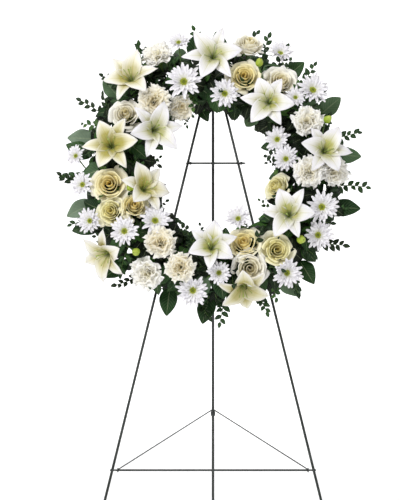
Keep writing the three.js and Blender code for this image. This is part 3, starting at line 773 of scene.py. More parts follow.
@kept
def bud_finish():
    finish = Finish("bud", 0.45, subsurface_weight=0.15, subsurface_scale=0.002)
    across, along = finish.map()
    lines = sine(across * tau * 6) * 0.5 + 0.5
    colour = finish.ramp(along, (0.0, "6f8f2c"), (0.45, "9fb82e"), (1.0, "c3d055"))
    finish.colour(finish.mix(lines * 0.25 + finish.noise(150.0) * 0.2, colour, "7f9a34"))
    return finish.relief(lines, 0.0004, 0.5)


@kept
def wire_finish():
    """Dark grey-green enamel on drawn wire, thin and a little rubbed."""
    finish = Finish("enamelled wire", 0.42, metallic=0.25, coat_weight=0.15)
    patches = finish.noise(38.0, 5.0)
    specks = finish.noise(700.0, 2.0)
    colour = finish.ramp(patches, (0.3, "1c201e"), (0.6, "2e3331"), (0.8, "454a47"))
    finish.colour(finish.mix(above(specks, 0.62) * 2.0, colour, "666b67"))
    finish.roughness(patches * 0.25 + 0.3)
    return finish.relief(specks + patches * 0.5, 0.00012, 0.6)


@kept
def tray_finish():
    finish = Finish("green plastic", 0.45)
    swirl = finish.noise(25.0, 4.0)
    finish.colour(finish.ramp(swirl, (0.35, "1f3a20"), (0.65, "2d4e2b")))
    finish.roughness(swirl * 0.2 + 0.35)
    return finish.relief(finish.noise(900.0), 0.0001, 0.5)


@kept
def foam_finish():
    finish = Finish("wet foam", 0.95)
    inputs = {"Vector": finish.place.outputs["Object"], "Scale": 700.0}
    depth = Field(finish.tree, add(finish.tree, "ShaderNodeTexVoronoi", inputs).outputs["Distance"])
    finish.colour(finish.mix(depth, "162a14", "2f5228"))
    return finish.relief(depth + finish.noise(120.0), 0.0006)


@kept
def tie_finish():
    finish = Finish("florist wire", 0.4, metallic=0.6)
    worn = finish.noise(600.0)
    finish.colour(finish.ramp(worn, (0.4, "23402a"), (0.75, "5a6e5c")))
    return finish.relief(worn, 0.0001)


# ---- Places ----


def middle_of(node):
    return sum(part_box(node), Vector()) / 2


HINGE = middle_of("hinge_rod")
BRACE_PIVOT = middle_of("lower_crossbar")
DOWN_FRAME = Vector((0, -sin(FRAME_LEAN), -cos(FRAME_LEAN)))
BEHIND_FRAME = Vector((0, cos(FRAME_LEAN), -sin(FRAME_LEAN)))
DOWN_BACK_LEG = Vector((0, sin(BACK_SPLAY), -cos(BACK_SPLAY)))
RING_CENTRE = middle_of("ring_tray") + BEHIND_FRAME * TRAY_HEIGHT / 2
WREATH = Matrix.Translation(RING_CENTRE) @ Matrix.Rotation(pi / 2 - FRAME_LEAN, 4, "X")


def turn_about(axis, angle):
    """A turn by an angle in degrees."""
    return Matrix.Rotation(radians(angle), 4, axis)


def outwards(distance):
    """A step along the +Z of a place."""
    return Matrix.Translation((0, 0, distance))


def leg_x(drop):
    return LEG_X_AT_HINGE + LEG_SPREAD * drop


def on_frame(x, plane, drop):
    """A point of the front frame: across it, behind its middle plane, and down it from the hinge."""
    return HINGE + Vector((x, 0, 0)) + BEHIND_FRAME * plane + DOWN_FRAME * drop


def on_ring(clock, radius, height):
    """A point in the wreath's own frame, which faces along +Z."""
    return Vector((radius * sin(radians(clock)), radius * cos(radians(clock)), height))


def stem_frame(clock, lean):
    """The place of a stem: its origin is in the middle of the foam, and its +Z runs out along the stem."""
    away = on_ring(clock, 1, 0)
    facing = away * sin(radians(lean)) + UP * cos(radians(lean))
    across = Vector((away.y, -away.x, 0))
    turn = Matrix((across, facing.cross(across), facing)).transposed().to_4x4()
    place = Matrix.Translation(on_ring(clock, RING_RADIUS, FOAM_MIDDLE))
    return WREATH @ place @ turn


def along_stem(place, distance):
    return place @ Vector((0, 0, distance))


class Bloom:
    """Where a bloom stands: the place of its stem, and that of its head, which nods back towards the front
    where it joins the stem and is turned by its spin."""

    def __init__(self, kind, clock, lean, spin=0.0, name="", base=None):
        self.stem = stem_frame(clock, lean)
        self.base = base or BASES.get(name, BASES[kind])
        nod = NODS.get(name, NODS[kind])
        self.head = self.stem @ outwards(self.base) @ turn_about("X", nod * lean) @ turn_about("Z", spin)

    def stalk(self, past, radius=STEM_RADIUS, start=None):
        """A cut stem that ends a little past where the head begins, and swells a little at its ends."""
        if start is None:
            start = along_stem(self.stem, STEM_STOP)
        points = between(start, along_stem(self.stem, self.base + past), len(STEM_SWELL) - 1)
        return points, [radius * share for share in STEM_SWELL]

    def upright(self, heights, radii):
        """A round body on the head's axis."""
        return [self.head @ Vector((0, 0, height)) for height in heights], radii


# ---- Flower shapes ----


def lily_shape(petal, size):
    """Six tepals, three wide and three narrow, that rise from the throat and curl back at their tips."""
    wide = cosine(petal.number * pi)
    turn = petal.number * (tau / 6) + petal.random(1) * 0.09
    length = size["Radius"] * 1.30 * (1 + petal.random(2) * 0.05)
    v = petal.along
    outline = sine((v**0.98) * pi) ** 0.86
    claw = bell(v, 0.12) * 0.0022
    half = size["Breadth"] * (1 + wide * 0.17) * outline + claw
    u2 = petal.across * petal.across
    channel = u2 * half * ((1 - v) * 0.85 - 0.14)
    groove = bell(petal.across, 0.16) * sine(v * pi) * -0.0013
    ripple = sine(v * 15 + petal.random(3) * 3 + petal.across * 1.5) * u2 * v * size["Radius"] * 0.03
    twist = petal.across * petal.random(4) * sine(v * pi) * size["Radius"] * 0.07
    end = size["Curl"] + petal.random(5) * 0.18 - wide * 0.08
    lift = channel + groove + ripple + twist
    return arc(petal, turn, length, 0.16 - wide * 0.03, end, half, lift, 0.0016, 0.006)


def rose_shape(petal, size):
    """Petals that wrap the heart, the outer ones wider and shorter, with rims that roll back."""
    u, v, share = petal.across, petal.along, petal.share
    radius = size["Radius"]
    turn = petal.number * GOLDEN_ANGLE + petal.random(1) * 0.30
    reach = radius * (share**0.9 * 0.84 + 0.07) * (1 + petal.random(2) * 0.06)
    top = size["Height"] * (1 - (share**1.7) * 0.42 * size["Opening"] + petal.random(3) * 0.05)
    half_turn = 1.95 - share**0.6
    outline = (v**0.45) * (1 - (v**8) * 0.30)
    angle = turn + u * half_turn * outline
    belly = sine((v**0.72) * (pi / 2)) * (1 - (1 - share) * (v**3) * 0.30)
    past = above(v, 0.62) / 0.38
    rolled = past * past * share * size["Opening"] * radius * (0.20 + size_of(u) * 0.12)
    point = bell(u, 0.25) * (v**7) * share * radius * 0.10
    wave = sine(u * 4.2 + petal.random(4) * 3) * (v**3) * share * radius * 0.05
    tuck = u * (petal.random(5) * 0.10 + 0.12) * (1.1 - share * 0.6) * v
    out = radius * 0.05 + reach * belly * (1 + tuck) + rolled + point
    up = top * (v ** (share * 0.6 + 1.0)) - (u * u) * (v**3) * top * 0.13 - rolled * 0.75 + wave
    return out * cosine(angle), out * sine(angle), up


def carnation_shape(petal, size):
    """Crowded fans with toothed rims, ruffled more and more towards the rim."""
    u, v, share = petal.across, petal.along, petal.share
    radius = size["Radius"]
    turn = petal.number * GOLDEN_ANGLE + petal.random(1) * 0.4
    teeth = 1 - size_of(sine(u * 9 + petal.random(2) * 2)) * (v**5) * 0.07 - (u * u) * v * 0.12
    length = radius * (0.80 + share * 0.34 + petal.random(3) * 0.09) * teeth
    end = (share**0.75 * 1.5 + 0.04) * (1 + petal.random(4) * 0.14) + petal.random(7) * 0.12
    half = radius * 0.74 * (v**1.1) + 0.0012
    ruffle = sine(u * 4.4 + petal.random(5) * 3) * 0.15 + sine(u * 10 + v * 3 + petal.random(6) * 5) * 0.06
    lift = radius * ((v**2) * ruffle + (u * u) * (v**1.5) * 0.2)
    return arc(petal, turn, length, end * 0.2, end + 0.02, half, lift, 0.002, 0.010)


def daisy_shape(petal, size):
    """Narrow round-tipped rays in many layers, the inner ones short and raised."""
    v, share = petal.along, petal.share
    radius = size["Radius"]
    turn = petal.number * GOLDEN_ANGLE + petal.random(1) * 0.10
    length = radius * ((share**0.6) * 0.40 + 0.56) * (1 + petal.random(2) * 0.07)
    end = share * 0.55 + 1.02 + petal.random(3) * 0.12
    outline = sine((v**1.05) * pi * 0.95 + 0.06) ** 0.5
    half = radius * 0.108 * (1 - share * 0.10) * outline + 0.0004
    channel = (petal.across * petal.across) * half * 0.8
    lift = channel + (v**2) * petal.random(4) * radius * 0.06
    return arc(petal, turn, length, end * 0.55, end, half, lift, radius * 0.11, radius * 0.12)


def sepal_shape(petal, size):
    """Small green leaves under a head, bent outwards."""
    turn = petal.number * (tau / 5) + petal.random(1) * 0.1
    half = size["Breadth"] * sine((petal.along**0.6) * pi * 0.98 + 0.03)
    lift = (petal.across * petal.across) * half * 0.5
    return arc(petal, turn, size["Length"], 0.9, size["Droop"], half, lift, 0.0015, 0.0)


def bud_shape(petal, size):
    """Petals that lie closed against each other and meet in a blunt point."""
    u, v = petal.across, petal.along
    turn = petal.number * (tau / 3) + u * 1.22 + v * 0.25
    girth = sine((v**0.85) * pi * 0.96 + 0.06) ** 0.75
    out = size["Radius"] * girth * (1.0 - u * u * 0.16 + petal.share * 0.03) + 0.0002
    return out * cosine(turn), out * sine(turn), v * size["Radius"] * 3.2


# Each kind's formula, its number of petals, the columns and rows of a petal's mesh, its thickness, and the
# sizes that it has unless it is given others
WHORLS = {
    "Lily tepals": (lily_shape, 6, 14, 26, 0.0008, {"Radius": 0.066, "Breadth": 0.0198, "Curl": 1.95}),
    "Rose petals": (rose_shape, 18, 14, 12, 0.0005, {"Radius": 0.036, "Height": 0.045, "Opening": 1.0}),
    "Carnation petals": (carnation_shape, 38, 14, 9, 0.0004, {"Radius": 0.036}),
    "Daisy rays": (daisy_shape, 36, 4, 8, 0.0004, {"Radius": 0.038}),
    "Sepals": (sepal_shape, 5, 4, 8, 0.0005, {"Length": 0.027, "Breadth": 0.004, "Droop": 1.9}),
    "Bud petals": (bud_shape, 3, 10, 12, 0.0005, {"Radius": 0.009}),
}


def whorl(kind, place, seed, material, **sizes):
    """A whorl of petals at a place."""
    _, petals, _, _, thickness, usual = WHORLS[kind]
    values = {"Petals": petals, "Seed": seed, **usual, **sizes}
    return placed(baked(whorl_tree(kind), values, material, thickness=thickness), place)


@kept
def floret_tree():
    """A tree that packs small florets over a disc in a spiral."""
    tree, given, size = new_tree("Daisy disc", {"Florets": 72, "Radius": 0.01})
    radius = size["Radius"]
    points, index = numbered_points(tree, size["Florets"])
    share = index / size["Florets"]
    out = radius * (share**0.5)
    turn = index * GOLDEN_ANGLE
    dome = radius * 0.42 * (1 - share)
    spread = moved(tree, points, vector_of(tree, out * cosine(turn), out * sine(turn), dome))
    marked = stored(tree, spread, "layer", share**0.5)
    ball = made(tree, "GeometryNodeMeshIcoSphere", {"Radius": 1.0, "Subdivisions": 1})
    wide = radius * 0.115
    inputs = {"Points": marked, "Instance": ball, "Scale": vector_of(tree, wide, wide, wide * 1.8)}
    return end_tree(tree, given, made(tree, "GeometryNodeInstanceOnPoints", inputs))


def stalks(paths, sides):
    return wires(paths, stem_finish(), sides)


# ---- Leaves ----

LEAF_VECTORS = ("place", "out", "left", "top")
LEAF_NUMBERS = ("length", "breadth", "bend", "shade")


def leaf_sheet(across, along, length, half_width, bend, ruffle, phase):
    """A pointed leaf along +X that folds up along its midrib and droops towards its tip."""
    slope = bend * along
    outline = (sine((along**0.8) * pi * 0.985 + 0.02)) ** 0.85
    half = half_width * outline + 0.0003
    fold = size_of(across) * half * 0.22 + sine(along * 13 + phase) * across * across * half * ruffle
    x = length / bend * sine(slope) + fold * sine(slope)
    z = fold * cosine(slope) - length / bend * (1 - cosine(slope))
    return x, across * half, z


@kept
def leaves_tree(name, columns, rows):
    """A tree that grows a leaf at each point of a mesh, whose attributes say where it is and how it bends."""
    tree, given, size = new_tree(name, {"Ruffle": 0.12})
    real, across, along = strips_on(tree, given.outputs["Geometry"], columns, rows)
    length, breadth, bend, shade = [attribute(tree, label) for label in LEAF_NUMBERS]
    shape = leaf_sheet(across, along, length, breadth, bend, size["Ruffle"], shade * 9)
    spot, *sides = [attribute(tree, label, "FLOAT_VECTOR") for label in LEAF_VECTORS]
    for value, side in zip(shape, sides):
        step = made(tree, "ShaderNodeVectorMath", {0: side, "Scale": value}, operation="SCALE")
        spot = made(tree, "ShaderNodeVectorMath", {0: spot, 1: step}, operation="ADD")
    return end_tree(tree, given, moved(tree, stored(tree, real, "tone", shade), spot))


def grown_leaves(leaves, finish, ruffle=0.12):
    """One mesh of leaves, each given as a place, length, half width, bend in radians and shade, -1 to 1."""
    form = ("Broad leaves", 8, 14) if finish == "broad leaf" else ("Small leaves", 4, 5)
    points = bpy.data.meshes.new("points")
    points.from_pydata([(0, 0, 0)] * len(leaves), [], [])
    for i, label in enumerate(LEAF_VECTORS):
        column = (i - 1) % 4
        flat = [c for leaf in leaves for c in leaf[0].col[column][:3]]
        points.attributes.new(label, "FLOAT_VECTOR", "POINT").data.foreach_set("vector", flat)
    for i, label in enumerate(LEAF_NUMBERS, 1):
        numbers = [leaf[i] for leaf in leaves]
        points.attributes.new(label, "FLOAT", "POINT").data.foreach_set("value", numbers)
    return baked(leaves_tree(*form), {"Ruffle": ruffle}, leaf_finish(finish), points, thickness=0.0004)


def sprig(place, length, scale, dice):
    """The stalk of a sprig, and its leaves, to the left and right by turns, with one at the tip."""
    sway, droop = dice.uniform(-0.22, 0.22), dice.uniform(-0.10, 0.22)
    shade = dice.uniform(-1, 0.7)

    def spot(t):
        return Vector((length * t, length * sway * t * t, length * droop * t * t))

    line = curve_through([place @ spot(i / 4) for i in range(5)], 3)
    stalk = (line, [0.0015 * scale * (1 - 0.6 * i / len(line)) for i in range(len(line))])
    leaves = []
    count = max(5, round(length / 0.0115))
    for i in range(count + 1):
        t = 0.24 + 0.76 * i / count
        swing = 0 if i == count else (1 if i % 2 else -1) * dice.uniform(34, 62)
        turn = turn_about("Z", swing + degrees(sway * t * 2)) @ turn_about("Y", dice.uniform(-35, 15))
        size = scale * (1.15 - 0.4 * t) * dice.uniform(0.8, 1.15)
        bend = dice.uniform(0.1, 0.9)
        tone = shade + dice.uniform(-0.25, 0.25)
        leaf_place = place @ Matrix.Translation(spot(t)) @ turn
        leaves.append((leaf_place, SPRIG_LEAF[0] * size, SPRIG_LEAF[1] * size, bend, tone))
    return stalk, leaves


def beside_ring(clock, side, swing, rise):
    """A place on a trail whose +X runs away from the ring."""
    spot = Matrix.Translation(on_ring(clock, RING_RADIUS + side * TRAIL_BESIDE, TRAIL_HEIGHT))
    away = 90 - clock + swing + (180 if side < 0 else 0)
    return WREATH @ spot @ turn_about("Z", away) @ turn_about("Y", -rise)


# ---- Settings ----


class StudioSettings(bpy.types.PropertyGroup):
    floor_colour: bpy.props.FloatVectorProperty(
        name="Floor colour", description="Colour of the plain floor and of the light around it",
        default=(0.93, 0.93, 0.93, 1.0), size=4, min=0.0, max=1.0, subtype="COLOR",
    )
    floor_glow: bpy.props.FloatVectorProperty(
        name="Floor glow", description="Light of the floor's own beside the easel and far behind it",
        default=(0.25, 0.82), size=2, min=0.0, max=2.0,
    )
    camera_distance: bpy.props.FloatProperty(
        name="Camera distance", description="From the lower crossbar to the camera",
        default=3.5, min=1.0, unit="LENGTH",
    )
    camera_height: bpy.props.FloatProperty(
        name="Camera height", description="Height of the level camera above the floor",
        default=0.902, min=0.1, unit="LENGTH",
    )


class LilySettings(bpy.types.PropertyGroup):
    breadth: bpy.props.FloatProperty(
        name="Tepal breadth", description="Half the width of a lily's tepal",
        default=0.0198, min=0.005, unit="LENGTH",
    )
    curl: bpy.props.FloatProperty(
        name="Curl", description="How far the tips of the tepals bend back from the stem's direction",
        default=1.95, min=0.5, max=3.0, unit="ROTATION",
    )


class RoseSettings(bpy.types.PropertyGroup):
    height: bpy.props.FloatProperty(
        name="Height", description="Height of a rose's head", default=0.045, min=0.02, unit="LENGTH",
    )
    opening: bpy.props.FloatProperty(
        name="Opening", description="How far the outer petals have opened and rolled back",
        default=1.0, min=0.0, max=1.5,
    )


class GreenerySettings(bpy.types.PropertyGroup):
    ruffle: bpy.props.FloatProperty(
        name="Ruffle", description="How strongly the edges of the broad leaves wave",
        default=0.14, min=0.0, max=0.5,
    )
    foliage: bpy.props.IntProperty(
        name="Foliage", description="Number of small leaves between the blooms", default=760, min=0, max=1500,
    )
    edge_leaves: bpy.props.IntProperty(
        name="Edge leaves", description="Number of leaves that hang over the tray's two rims",
        default=380, min=0, max=600,
    )
    sprigs: bpy.props.IntProperty(
        name="Sprigs", description="Number of small-leaved sprigs that stand up between the blooms",
        default=100, min=1, max=120,
    )
    broad_leaves: bpy.props.IntProperty(
        name="Broad leaves", description="Number of broad leaves between the blooms",
        default=34, min=1, max=80,
    )


class WreathSettings(bpy.types.PropertyGroup):
    studio: bpy.props.PointerProperty(type=StudioSettings)
    lily: bpy.props.PointerProperty(type=LilySettings)
    rose: bpy.props.PointerProperty(type=RoseSettings)
    greenery: bpy.props.PointerProperty(type=GreenerySettings)


# ---- Operators ----


class WREATH_OT_studio(bpy.types.Operator):
    """Makes the floor, the soft light and the camera"""

    bl_idname = "wreath.studio"
    bl_label = "Studio"

    def execute(self, context):
        settings = context.scene.wreath.studio
        context.scene.view_settings.view_transform = "Standard"
        self.add_floor(context.scene, settings)
        self.add_light(context.scene)
        self.add_camera(context.scene, settings)
        return {"FINISHED"}

    def add_floor(self, scene, settings):
        """A floor that sweeps up far behind the easel and glows more the farther back it is."""
        bend, turns = FLOOR_BACK - FLOOR_SWEEP, [t * pi / 24 for t in range(13)]
        outline = [(bend + FLOOR_SWEEP * sin(turn), FLOOR_SWEEP - FLOOR_SWEEP * cos(turn)) for turn in turns]
        outline = [(FLOOR_FRONT, 0.0), *outline, (FLOOR_BACK, FLOOR_TOP)]
        points = [(x, y, z) for y, z in outline for x in (-FLOOR_HALF_WIDTH, FLOOR_HALF_WIDTH)]
        faces = [(2 * i, 2 * i + 1, 2 * i + 3, 2 * i + 2) for i in range(len(outline) - 1)]
        mesh = bpy.data.meshes.new("floor")
        mesh.from_pydata(points, [], faces)
        mesh.shade_smooth()
        finish = Finish("studio floor", 0.8, emission_color=grey(1.0))
        finish.colour(finish.mix(finish.noise(1.5) * 0.02, tuple(settings.floor_colour), "e4e4e4"))
        behind = components(finish.tree, finish.place.outputs["Object"])[1]
        near, far = settings.floor_glow
        glow = at_most(above(behind, GLOW_START) * ((far - near) / GLOW_REACH) + near, far)
        feed(finish.tree, finish.shader.inputs["Emission Strength"], glow)
        mesh.materials.append(finish.material)
        floor = bpy.data.objects.new("floor", mesh)
        scene.collection.objects.link(floor)

    def add_light(self, scene):
        scene.world = bpy.data.worlds.new("soft light")
        scene.world.use_nodes = True
        background = scene.world.node_tree.nodes["Background"]
        background.inputs["Color"].default_value = grey(1.0)
        background.inputs["Strength"].default_value = WORLD_LIGHT
        for name, (spot, size, power) in LAMPS.items():
            light = bpy.data.lights.new(name, "AREA")
            light.size = size
            light.energy = power
            lamp = bpy.data.objects.new(name, light)
            lamp.location = spot
            lamp.rotation_euler = (RING_CENTRE - Vector(spot)).to_track_quat("-Z", "Y").to_euler()
            scene.collection.objects.link(lamp)

    def add_camera(self, scene, settings):
        camera = bpy.data.cameras.new("camera")
        camera.lens = CAMERA_LENS
        camera.shift_x = CAMERA_SHIFT
        camera.dof.use_dof = False
        view = bpy.data.objects.new("camera", camera)
        view.location = (0, BRACE_PIVOT.y - settings.camera_distance, settings.camera_height)
        view.rotation_euler = (pi / 2, 0, 0)
        scene.collection.objects.link(view)
        scene.camera = view


class WREATH_OT_easel(bpy.types.Operator):
    """Makes the folding easel's legs, crossbars, hinge, brace and stop"""

    bl_idname = "wreath.easel"
    bl_label = "Easel"

    def execute(self, context):
        paint = wire_finish()
        for name, side in (("left_front_leg", -1), ("right_front_leg", 1)):
            self.add_front_leg(name, side, paint)
        for name, radius in (
            ("upper_crossbar", CROSSBAR_RADIUS),
            ("lower_crossbar", CROSSBAR_RADIUS),
            ("hinge_rod", HINGE_ROD_RADIUS),
        ):
            self.add_bar(name, radius, paint)
        catch_drop = (BRACE_PIVOT - HINGE).dot(DOWN_BACK_LEG)  # the brace meets the back leg squarely there
        self.add_back_leg(paint)
        self.add_stop(catch_drop + BRACE_RADIUS + GAP, paint)
        self.add_brace(HINGE + DOWN_BACK_LEG * catch_drop, paint)
        return {"FINISHED"}

    def add_front_leg(self, name, side, paint):
        """A leg with a rounded top end."""
        top = on_frame(side * leg_x(-LEG_ABOVE_HINGE), LEG_PLANE, -LEG_ABOVE_HINGE)
        foot = on_frame(side * leg_x(LOW_ENOUGH), LEG_PLANE, LOW_ENOUGH)
        crown = top - (foot - top).normalized() * FRONT_LEG_RADIUS * 0.35
        points = between(top, foot, 60)
        radii = [FRONT_LEG_RADIUS * 0.6] + [FRONT_LEG_RADIUS] * len(points)
        leg = cut_at_floor(wires([([crown, *points], radii)], paint, 16))
        dress(name + "_wire", [leg], FRONT, "wire", name)

    def add_bar(self, name, radius, paint):
        """A bar with narrowed ends and a weld on each leg."""
        low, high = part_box(name)
        middle = (low + high) / 2
        points = between(*[Vector((x, middle.y, middle.z)) for x in (low.x, high.x)], 24)
        radii = [radius * 0.7, *[radius] * (len(points) - 2), radius * 0.7]
        paths = [(points, radii)]
        for side in (-1, 1):
            spot = middle + ACROSS * side * leg_x((middle - HINGE).dot(DOWN_FRAME))
            bead = [spot + ACROSS * radius * at for at, _ in WELD_BEAD]
            paths.append((bead, [radius * swell for _, swell in WELD_BEAD]))
        dress(name + "_wire", [wires(paths, paint, 14)], FRONT, "wire", name)

    def add_back_leg(self, paint):
        eye_radius = HINGE_ROD_RADIUS + GAP + BACK_EYE_RADIUS
        facing = DOWN_BACK_LEG.cross(ACROSS)
        loop = circle_points(HINGE, DOWN_BACK_LEG * eye_radius, facing * eye_radius, 32)
        shank = between(HINGE + DOWN_BACK_LEG * eye_radius, HINGE + DOWN_BACK_LEG * LOW_ENOUGH, 90)
        radii = [BACK_EYE_RADIUS, *[BACK_LEG_RADIUS] * (len(shank) - 1)]
        leg = cut_at_floor(wires([(loop, BACK_EYE_RADIUS, True), (shank, radii)], paint, 16))
        dress("back_leg_wire", [leg], BACK, "wire", "back_leg")

    def add_stop(self, drop, paint):
        """A chamfered collar on the back leg, a drop below the hinge, with a small grub screw."""
        bore, outer, top = BACK_LEG_RADIUS + GAP, STOP_RADIUS, STOP_LENGTH
        flat = outer - STOP_CHAMFER
        profile = [(bore, 0), (flat, 0), (outer, STOP_CHAMFER)]
        profile += [(outer, top - STOP_CHAMFER), (flat, top), (bore, top)]
        turn = DOWN_BACK_LEG.to_track_quat("-Z", "Y").to_matrix().to_4x4()
        place = Matrix.Translation(HINGE + DOWN_BACK_LEG * (drop + STOP_LENGTH)) @ turn
        collar = placed(turned(profile, 32, paint), place)
        *ends, radius = STOP_SCREW
        screw = [place @ Vector((0, 0, top / 2)) + Vector((0, outer + end, 0)) for end in ends]
        dress("brace_stop_collar", [collar, wires([(screw, radius)], paint, 10)], BACK, "wire", "brace_stop")

    def add_brace(self, catch, paint):
        """One bent wire: an eye on the crossbar, an arm, the bend behind the back leg, and the same again."""
        reach = (catch - BRACE_PIVOT).length
        forward = (catch - BRACE_PIVOT).normalized()
        facing = ACROSS.cross(forward)
        eye_x = leg_x(LOWER_BAR_DROP) - BRACE_EYE_INSET
        eye_radius = CROSSBAR_RADIUS + EYE_PLAY + BRACE_RADIUS
        bend = BACK_LEG_RADIUS + 2 * GAP + BRACE_RADIUS
        half = atan2(eye_x - bend, reach - eye_radius)
        left, right = [BRACE_PIVOT + ACROSS * eye_x * side for side in (-1, 1)]
        radii = forward * eye_radius, facing * eye_radius
        eye = circle_points(left, *radii, 22, -BRACE_EYE_SWEEP, BRACE_EYE_SWEEP)
        turn = circle_points(catch, ACROSS * bend, forward * bend, 12, pi - half, 2 * half - pi)
        other_eye = [right + point - left for point in eye]
        arm = between(eye[-1], turn[0], 16)[1:-1]
        other_arm = between(other_eye[-1], turn[-1], 16)[1:-1]
        path = [*eye, *arm, *turn, *reversed(other_arm), *reversed(other_eye)]
        dress("brace_wire", [wires([(path, BRACE_RADIUS)], paint, 12)], BRACE, "wire", "brace")


class WREATH_OT_ring(bpy.types.Operator):
    """Makes the plastic tray, the wet foam and the wire ties"""

    bl_idname = "wreath.ring"
    bl_label = "Ring"

    def execute(self, context):
        self.add_tray()
        self.add_foam()
        self.add_ties()
        return {"FINISHED"}

    def add_tray(self):
        """A channel with softened edges and upright ribs on both walls."""
        inner, outer = RING_RADIUS - TRAY_HALF_WIDTH, RING_RADIUS + TRAY_HALF_WIDTH
        wall, lip, top = TRAY_WALL, TRAY_LIP, TRAY_HEIGHT
        profile = [(inner + lip, 0), (outer - lip, 0), (outer, lip), (outer, top - lip), (outer - lip, top)]
        profile += [(outer - wall, top - lip), (outer - wall, wall), (inner + wall, wall)]
        profile += [(inner + wall, top - lip), (inner + lip, top), (inner, top - lip), (inner, lip)]
        meshes = [turned(profile, 144, tray_finish())]
        for turn in range(0, 360, RIB_STEP):
            for radius in (inner, outer):
                ends = on_ring(turn, radius, 0.002), on_ring(turn, radius, top - 0.003)
                meshes.append(wires([(between(*ends, len(RIB_RADII) - 1), RIB_RADII)], tray_finish(), 8))
        dress("ring_tray_shell", [placed(mesh, WREATH) for mesh in meshes], FRONT, "tray", "ring_tray")

    def add_foam(self):
        """A block with bevelled shoulders, pitted on top."""
        half, low = TRAY_HALF_WIDTH - TRAY_WALL - GAP, TRAY_WALL + GAP
        in_by, up_by = FOAM_SHOULDER
        shoulder = FOAM_HEIGHT - up_by
        corners = [(-half, low), (half, low), (half, shoulder), (half - in_by, FOAM_HEIGHT)]
        corners += [(in_by - half, FOAM_HEIGHT), (-half, shoulder), (-half, low)]
        profile = broken_line([(RING_RADIUS + x, z) for x, z in corners], (12, 4, 4, 6, 4, 4))
        mesh = turned(profile, 180, foam_finish())
        dice = random.Random(3)
        for vertex in mesh.vertices:
            if vertex.co.z > shoulder:
                vertex.co.z -= dice.uniform(0, FOAM_PITS)
        dress("foam_ring_block", [placed(mesh, WREATH)], FRONT, "foam", "foam_ring")

    def add_ties(self):
        for name, side in TIES.items():
            turn = WREATH.to_3x3() @ Matrix.Rotation(side * atan2(LEG_SPREAD, 1), 3, "Z")
            loop = circle_points(middle_of(name), turn @ ACROSS * TIE_RADIUS, turn @ UP * TIE_RADIUS, 40)
            dress(name + "_loop", [wires([(loop, TIE_WIRE, True)], tie_finish(), 10)], FRONT, "tie", name)


class WREATH_OT_lilies(bpy.types.Operator):
    """Makes the lilies with their stamens, buds and stems"""

    bl_idname = "wreath.lilies"
    bl_label = "Lilies"

    def execute(self, context):
        settings = context.scene.wreath.lily
        sizes = {"Breadth": settings.breadth, "Curl": settings.curl}
        for seed, (name, (clock, lean, radius, spin, colouring)) in enumerate(LILIES.items(), 1):
            lily = Bloom("lily", clock, lean, spin, name)
            tepals = lily_petal("lily " + colouring)
            head = whorl("Lily tepals", lily.head, seed, tepals, Radius=radius, **sizes)
            paths, buds = [lily.stalk(0.008, 0.0026)], []
            if name in LILY_BUDS:
                clock, lean, girth = LILY_BUDS[name]
                bud = Bloom("bud", clock, lean)
                paths.append(bud.stalk(0.002, start=along_stem(lily.stem, FORK)))
                buds.append(whorl("Bud petals", bud.head, seed, bud_finish(), Radius=girth))
            meshes = [head, stalks(paths, 10), self.stamens(lily.head, radius, seed), *buds]
            dress(name + "_bloom", meshes, FRONT, "lily_petal", name)
        return {"FINISHED"}

    def stamens(self, head, radius, seed):
        """Six thin filaments and a thicker style that bend up from the throat."""
        dice = random.Random(100 + seed)
        paths = []
        for i in range(7):
            style = i == 6
            turn = tau * i / 6 + dice.uniform(-0.15, 0.15)
            spread = radius * (0.10 if style else dice.uniform(0.26, 0.34))
            length = radius * (0.72 if style else dice.uniform(0.52, 0.60))
            points = []
            for t in (0, 0.25, 0.5, 0.75, 1):
                out = 0.0015 + spread * t**1.5
                points.append(head @ Vector((out * cos(turn), out * sin(turn), 0.010 + length * t)))
            thick = 0.0012 if style else 0.0008
            paths.append((points, [thick * share for share in (1.0, 0.9, 0.85, 0.8, 1.9 if style else 1.2)]))
        return wires(paths, stamen_finish(), 8)


class WREATH_OT_roses(bpy.types.Operator):
    """Makes the roses with their sepals and stems"""

    bl_idname = "wreath.roses"
    bl_label = "Roses"

    def execute(self, context):
        settings = context.scene.wreath.rose
        sizes = {"Height": settings.height, "Opening": settings.opening}
        for seed, (name, (clock, lean, radius, spin, colouring)) in enumerate(ROSES.items(), 31):
            rose = Bloom("rose", clock, lean, spin, name)
            petals = layered_petal("rose " + colouring, 0.48)
            head = whorl("Rose petals", rose.head, seed, petals, Radius=radius, **sizes)
            calyx = whorl("Sepals", rose.head, seed, stem_finish(), Length=radius * 0.75)
            meshes = [head, calyx, stalks([rose.stalk(0.004)], 10)]
            dress(name + "_bloom", meshes, FRONT, "rose_petal", name)
        return {"FINISHED"}


class WREATH_OT_carnations(bpy.types.Operator):
    """Makes the carnations with their cups and stems"""

    bl_idname = "wreath.carnations"
    bl_label = "Carnations"

    def execute(self, context):
        heights, widths = [-0.002, 0.002, 0.008, 0.014, 0.018], [0.003, 0.006, 0.0085, 0.009, 0.008]
        for seed, (name, (clock, lean, radius, spin, colouring)) in enumerate(CARNATIONS.items(), 51):
            carnation = Bloom("carnation", clock, lean, spin, name)
            petals = layered_petal("carnation " + colouring, 0.6)
            head = whorl("Carnation petals", carnation.head, seed, petals, Radius=radius)
            green = stalks([carnation.stalk(0.0), carnation.upright(heights, widths)], 12)
            dress(name + "_bloom", [head, green], FRONT, "carnation_petal", name)
        return {"FINISHED"}


